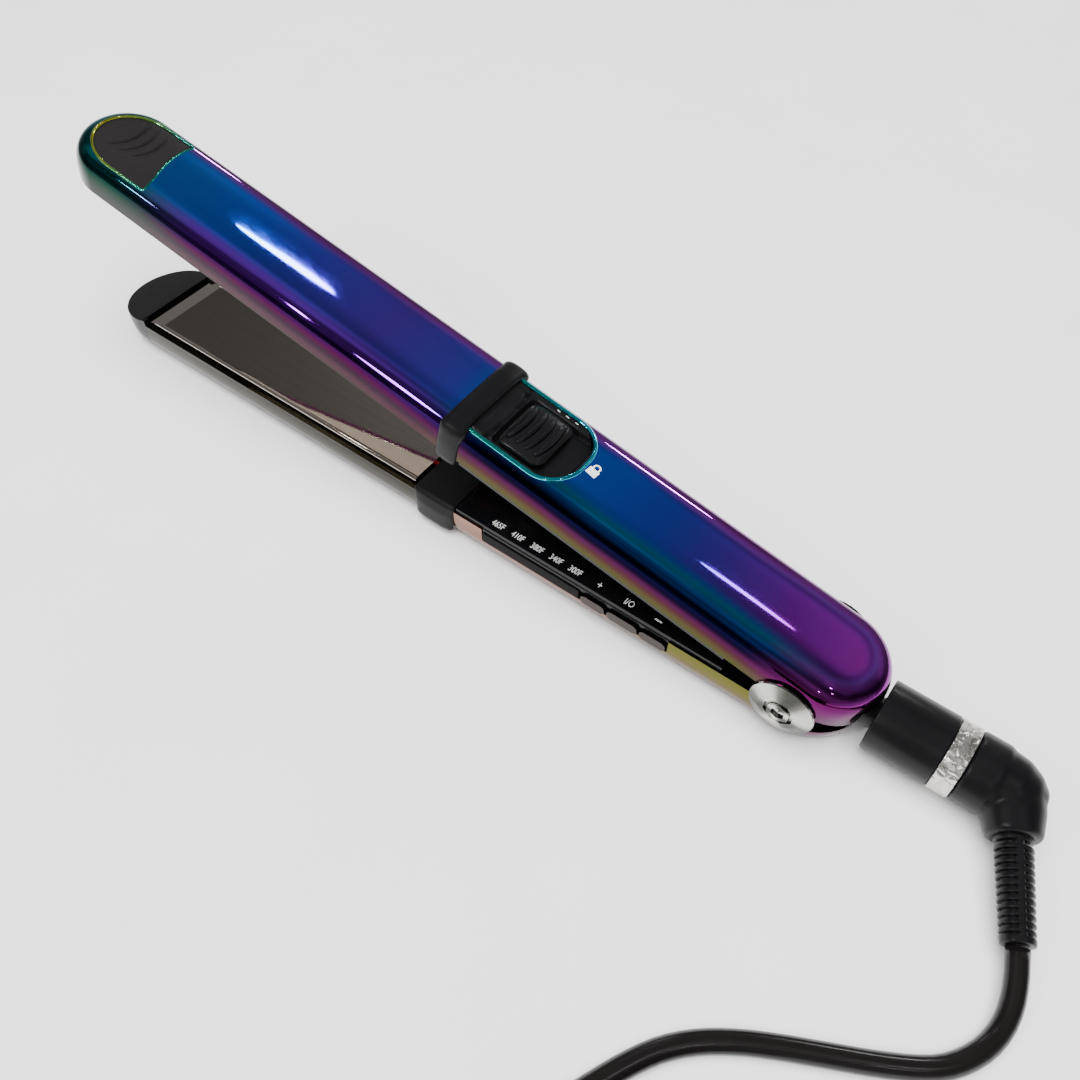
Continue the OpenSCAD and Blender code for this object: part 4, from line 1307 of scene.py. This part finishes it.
# %% Printing
def ink():
    f = Finish("white_print", Roughness=0.45)
    wear = f.noise(f.place(), 1.4, 3.0)
    f.into("Base Color", f.ramp(wear, [(0.3, (0.62, 0.62, 0.60)), (0.6, (0.86, 0.86, 0.84))]))
    return f.material


white_print = ink()


def letters(text, size):
    curve = bpy.data.curves.new("letters", "FONT")
    curve.body, curve.size, curve.extrude = text, size, 0.0
    curve.align_x, curve.align_y = "CENTER", "CENTER"
    obj = bpy.data.objects.new("letters", curve)
    bpy.context.scene.collection.objects.link(obj)
    mesh = bpy.data.meshes.new_from_object(obj.evaluated_get(bpy.context.evaluated_depsgraph_get()))
    pts = np.array([v.co for v in mesh.vertices])
    faces = [tuple(p.vertices) for p in mesh.polygons]
    bpy.data.objects.remove(obj)
    return pts, faces


def raised(flat, faces, height=0.04):
    """A thin solid print from a flat one."""
    n = len(flat)
    pts = [(x, y, 0.0) for x, y, z in flat] + [(x, y, height) for x, y, z in flat]
    edges = dict.fromkeys((a, b) for f in faces for a, b in zip(f, f[1:] + f[:1]))
    sides = [(a, b, n + b, n + a) for a, b in edges if (b, a) not in edges]
    return pts, [tuple(reversed(f)) for f in faces] + [tuple(n + i for i in f) for f in faces] + sides


COVER_TOP = ARM_H - 0.195
PRINT_Y = -11.2
PRINT_NARROW = 0.74


def print_on_cover(text, x, size):
    """Text that runs along the arm and is read from its near side."""
    pts, faces = raised(*letters(text, size))
    return [(x + p[0] * PRINT_NARROW, PRINT_Y + p[1], COVER_TOP + p[2]) for p in pts], faces


marks = [("465F", 16.2, 2.6), ("410F", 22.5, 2.6), ("380F", 28.6, 2.6), ("340F", 34.5, 2.6),
         ("300F", 40.4, 2.6), ("+", 47.8, 3.4), ("I/O", 56.6, 2.7)]
parts = [print_on_cover(*mark) for mark in marks]
minus_sign = box_part(64.0, 66.0, PRINT_Y - 0.2, PRINT_Y + 0.2, COVER_TOP, COVER_TOP + 0.04)
printing = fix_normals(joined("cover_printing", parts + [minus_sign]), merge=0.0005)
set_smooth(printing, False)
settle(printing, white_print, "lower_arm", "black_plastic")
print("printing", len(printing.data.polygons), "faces")


# %% Padlock sign and the three dashes
def lock_sign():
    body = [(-1.45, -1.25), (1.45, -1.25), (1.45, 0.9), (-1.45, 0.9)]
    parts = [(body, [(0, 1, 2, 3)])]
    arc = [(math.cos(a), math.sin(a)) for a in np.linspace(0, math.pi, 14)]
    outer = [(1.05, 0.9)] + [(1.05 * c, 1.5 + 1.05 * s) for c, s in arc] + [(-1.05, 0.9)]
    inner = [(0.62, 0.9)] + [(0.62 * c, 1.5 + 0.62 * s) for c, s in arc] + [(-0.62, 0.9)]
    m = len(outer)
    parts.append((outer + inner, [(i, i + 1, m + i + 1, m + i) for i in range(m - 1)]))
    return parts


def on_upper(parts, cx, cy, turn, height=0.05):
    out_parts = []
    for flat, faces in parts:
        pts, fcs = raised([(x, y, 0) for x, y in flat], faces, height)
        c, s = math.cos(turn), math.sin(turn)
        done = []
        for x, y, z in pts:
            X, Y = cx + x * c - y * s, cy + x * s + y * c
            done.append((X, Y, float(arm_height(np.array(Y))) + 0.008 + z))
        out_parts.append((upper_place(np.array(done)), fcs))
    return out_parts


signs = on_upper(lock_sign(), 32.9, -0.4, math.radians(-8))
for x in (15.8, 18.5, 21.4):
    dash = [([(-0.45, -0.11), (0.45, -0.11), (0.45, 0.11), (-0.45, 0.11)], [(0, 1, 2, 3)])]
    for pts, fcs in on_upper(dash, x, 9.35, math.radians(-10)):
        lowered = np.array(pts)
        signs.append((lowered + (upper_place([0, 0, -0.62]) - upper_place([0, 0, 0])), fcs))
sign_piece = fix_normals(joined("arm_signs", signs), merge=0.0005)
set_smooth(sign_piece, False)
settle(sign_piece, white_print, "upper_arm", "shell_plating")
print("signs", len(sign_piece.data.polygons), "faces")


# %% [markdown]
# The plug is a moulded block with a grip waist, and its own small ribbed relief, lying on
# the coil. A woven strap holds the coil together.

# %% Plug
PLUG = np.array([130.0, -161.0, 27.8])


def rounded_block(x0, x1, half_y, half_z, n=40, power=4.0, waist=0.0):
    rows = []
    for u in np.linspace(0, 1, n):
        x = x0 + (x1 - x0) * (0.5 - 0.5 * math.cos(u * math.pi))
        e = min(x - x0, x1 - x) / 3.0
        k = 1.0 if e >= 1 else 0.72 + 0.28 * math.sqrt(max(0.0, 1 - (1 - e) ** 2))
        pinch = 1 - waist * math.exp(-((x - (x0 + x1) / 2 + 2) / 5.0) ** 2)
        row = []
        for j in range(40):
            a = 2 * math.pi * j / 40
            c, s = math.cos(a), math.sin(a)
            row.append((x, math.copysign(abs(c) ** (2 / power), c) * half_y * k * pinch,
                        math.copysign(abs(s) ** (2 / power), s) * half_z * k))
        rows += row
    return rows, ring_faces(n, 40, caps=True)


plug_parts = [rounded_block(11, 33, 12.4, 7.9, waist=0.16),
              turned(rounded([(-2, 0), (-2, 3.6), (12.5, 4.4), (12.5, 0)], 0.4), ORIGIN, ALONG, 36)]
plug = joined("plug_moulding", [([tuple(PLUG + np.array(p)) for p in pts], f) for pts, f in plug_parts])
fix_normals(plug)
plug.data.set_sharp_from_angle(angle=math.radians(55))
settle(plug, soft_black, "lower_arm", "cord_black", "plug_body")
rib_profile = rounded([(0, 2.6), (0, 4.6), (1.3, 4.6), (1.3, 2.6)], 0.3)
plug_rib = mesh_piece("plug_ribs", *turned(rib_profile, ORIGIN, ALONG, 32))
repeat(plug_rib, soft_black, 4, (3.0, 0, 0), tuple(PLUG + [-1.2, 0, 0]), 0.94, 1.06)
fix_normals(plug_rib)
plug_rib.data.set_sharp_from_angle(angle=math.radians(60))
settle(plug_rib, soft_black, "lower_arm", "cord_black")
print("plug", len(plug.data.polygons) + len(plug_rib.data.polygons), "faces")

# %% Strap round the coil
TIE = np.array([COIL[0], COIL[1] + 29.0])
loop = np.array([(-12.0, 10.0), (-12.0, 18.7), (-10.4, 20.4), (0, 20.5), (9.2, 20.4), (10.9, 18.7),
                 (10.9, 10.0), (10.9, 1.8), (9.2, 0.3), (0, 0.28), (-10.4, 0.3), (-12.0, 1.8)])
d = np.roll(loop, -1, 0) - np.roll(loop, 1, 0)
d /= np.linalg.norm(d, axis=1)[:, None]
nrm = np.stack([-d[:, 1], d[:, 0]], 1)
pts = []
for (y, z), (ny, nz) in zip(loop, nrm):
    for x, t in ((-6.8, 0.0), (6.8, 0.0), (6.8, 0.25), (-6.8, 0.25)):
        yy, zz = y + ny * (t - 0.12), z + nz * (t - 0.12)
        pts.append((TIE[0] + x, TIE[1] + yy, max(0.02, zz)))
strap = fix_normals(mesh_piece("coil_strap", pts, ring_faces(len(loop), 4, loop=True)))
strap.data.set_sharp_from_angle(angle=math.radians(40))
settle(strap, tie_weave, "lower_arm", "cord_black", "cord_tie")
print("strap", len(strap.data.polygons), "faces")

# %% The cord's finish; it stands for the imported cord, coil and lead
cord.data.materials.append(cord_black)
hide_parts("power_cord", "cord_coil", "plug_lead")
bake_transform(cord)


# %% [markdown]
# The CAD pieces whose shape is already right stay, and only get their finish. A fine bevel
# on the keys and the lens catches the light as a moulded edge does.

# %% Finishes of the carried-over pieces
CARRIED = {
    "lower_plate": plate_metal, "upper_plate": plate_metal, "lower_heater": ceramic,
    "upper_heater": ceramic, "lower_carrier": soft_black, "upper_carrier": soft_black,
    "lower_cushions": silicone, "upper_cushions": silicone, "lower_leads": wire_red,
    "upper_leads": wire_red, "control_cover": gloss_black, "lamp_lens": lens_smoke,
    "heat_lamps": lamp_amber, "plus_button": key_metal, "power_button": key_metal,
    "minus_button": key_metal, "control_board": board_green, "button_switches": soft_black,
    "cover_screws": steel, "hinge_bracket": soft_black, "bracket_screws": steel,
    "hinge_pin": steel, "lock_catch": steel, "upper_nose": soft_black, "thermal_fuse": steel,
    "lock_hook": steel, "upper_cover": soft_black, "upper_cover_screws": steel,
    "hinge_knuckles": soft_black, "slip_contacts": brass, "plug_blades": brass}
for node_name, finish in CARRIED.items():
    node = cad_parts[node_name]
    node.data.materials.clear()
    node.data.materials.append(finish)
for node_name, width in (("plus_button", 0.3), ("power_button", 0.3), ("minus_button", 0.3),
                         ("lamp_lens", 0.25), ("control_cover", 0.15)):
    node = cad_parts[node_name]
    weld = node.modifiers.new("weld", "WELD")
    weld.merge_threshold = 0.000005
    soft = node.modifiers.new("edge", "BEVEL")
    soft.width, soft.segments, soft.limit_method = width / 1000, 2, "ANGLE"
    soft.angle_limit, soft.harden_normals = math.radians(40), True
print("carried over", len(CARRIED), "nodes")


# %% [markdown]
# The iron lies on a pale floor in a grey room. The room is bright low down, dark a third of
# the way up and paler again overhead, and a little cloudy, so that the polished arms have
# something to mirror. One broad lamp hangs overhead for the floor. It is hidden from mirrors,
# or it would whiten the tops of the arms.

# %% Floor, room and lights
SIDE = 3000
floor = mesh_piece("floor", [(-SIDE, -SIDE, 0), (SIDE, -SIDE, 0), (SIDE, SIDE, 0), (-SIDE, SIDE, 0)],
                   [(0, 1, 2, 3)])
f = Finish("floor_paint", Roughness=0.9, Specular_IOR_Level=0.1)
f.into("Base Color", f.ramp(f.noise(f.place(), 0.02, 2.0), [
    (0.3, (0.86, 0.86, 0.86)), (0.7, (0.89, 0.89, 0.89))]))
floor.data.materials.append(f.material)

world = bpy.data.worlds.new("room")
world.use_nodes = True
tree = world.node_tree
ground = tree.nodes["Background"]
spot = tree.nodes.new("ShaderNodeTexCoord")
split = tree.nodes.new("ShaderNodeSeparateXYZ")
tree.links.new(spot.outputs["Generated"], split.inputs[0])
sky = tree.nodes.new("ShaderNodeValToRGB")
tree.links.new(split.outputs["Z"], sky.inputs["Fac"])
shades = [(0.0, 0.75), (0.16, 0.50), (0.30, 0.22), (0.60, 0.26), (0.74, 0.36), (0.90, 0.42), (1.0, 0.5)]
fill_ramp(sky.color_ramp, [(at, (grey, grey, grey * 1.01)) for at, grey in shades])
cloud = tree.nodes.new("ShaderNodeTexNoise")
cloud.inputs["Scale"].default_value, cloud.inputs["Detail"].default_value = 1.7, 1.0
tree.links.new(spot.outputs["Generated"], cloud.inputs["Vector"])
spread = tree.nodes.new("ShaderNodeMapRange")
spread.interpolation_type = "SMOOTHSTEP"
for key, v in (("From Min", 0.38), ("From Max", 0.62), ("To Min", 0.45), ("To Max", 1.35)):
    spread.inputs[key].default_value = v
tree.links.new(cloud.outputs["Fac"], spread.inputs["Value"])
tree.links.new(sky.outputs["Color"], ground.inputs["Color"])
tree.links.new(spread.outputs["Result"], ground.inputs["Strength"])
bpy.context.scene.world = world


def softbox(name, at, aim, size, power):
    data = bpy.data.lights.new(name, "AREA")
    data.shape, data.size, data.size_y = "RECTANGLE", size[0], size[1]
    data.energy = power
    lamp = bpy.data.objects.new(name, data)
    bpy.context.scene.collection.objects.link(lamp)
    lamp.location = at
    lamp.rotation_euler = (Vector(aim) - Vector(at)).to_track_quat("-Z", "Y").to_euler()
    return lamp


overhead = softbox("overhead", (0.1, -0.2, 1.6), (0.03, -0.03, 0), (1.4, 1.4), 74)
overhead.visible_glossy = False
print("lights", len(bpy.data.lights))


# %% [markdown]
# A polished arm shows a lamp only where it sends the lamp's light to the eye. So each long
# lamp is placed backwards: the line of sight is turned back at the spot where the highlight
# should lie, and the lamp hangs out along it. Four small round lamps add sparks.

# %% Lamps that show in the upper arm
def mirrored(x, y, distance):
    """The place, at that distance, whose light the arm's top sends to the eye at (x, y)."""
    spot = upper_place([x, y, float(arm_height(np.array(y)))]) / 1000
    g = np.array([0.0, np.sign(y) * (abs(y) / HALF) ** (POWER - 1) / HALF,
                  (float(arm_height(np.array(y))) / ARM_H) ** (POWER - 1) / ARM_H])
    n = upper_place(g) - upper_place([0, 0, 0])
    n /= np.linalg.norm(n)
    eye = np.array(EYE)
    look = spot - eye
    look /= np.linalg.norm(look)
    away = look - 2 * (look @ n) * n
    return tuple(spot + away * distance), tuple(spot)


def streak(name, x0, x1, y, width, power, distance=0.9):
    """A long thin lamp that shows on the arm as one line from x0 to x1."""
    at, aim = mirrored((x0 + x1) / 2, y, distance)
    lamp = softbox(name, at, aim, (width, 0.1), power)
    run = Vector(mirrored(x1, y, distance)[0]) - Vector(mirrored(x0, y, distance)[0])
    look = (Vector(aim) - Vector(at)).normalized()
    y_axis = (run - run.dot(look) * look).normalized()
    x_axis = y_axis.cross(-look)
    lamp.rotation_euler = Matrix((x_axis, y_axis, -look)).transposed().to_euler()
    lamp.data.shape, lamp.data.size_y = "ELLIPSE", run.length
    print(name, "at", [round(c, 2) for c in at], "length", round(run.length, 3))
    return lamp


streak("streak_top", -80, -47, -2.4, 0.013, 0.16)
streak("streak_shoulder", -31, -4, -12.1, 0.20, 2.4)
streak("streak_short", -54, -47, -11.9, 0.14, 0.5)
streak("streak_far", 30, 62, 9.2, 0.05, 0.9)
streak("streak_far_front", -112, -92, 10.0, 0.05, 0.35)
streak("streak_rear", 66, 92, -3.5, 0.012, 0.05)
for i, at in enumerate([(0.9, -0.5, 1.2), (0.5, -1.0, 0.9), (0.75, -0.1, 1.4), (-0.9, -0.9, 1.1)]):
    spark = softbox(f"spark_{i}", at, (0.1, 0, 0.05), (0.06, 0.06), 0.6)
    spark.data.shape = "DISK"
print("lamps in all", len(bpy.data.lights))
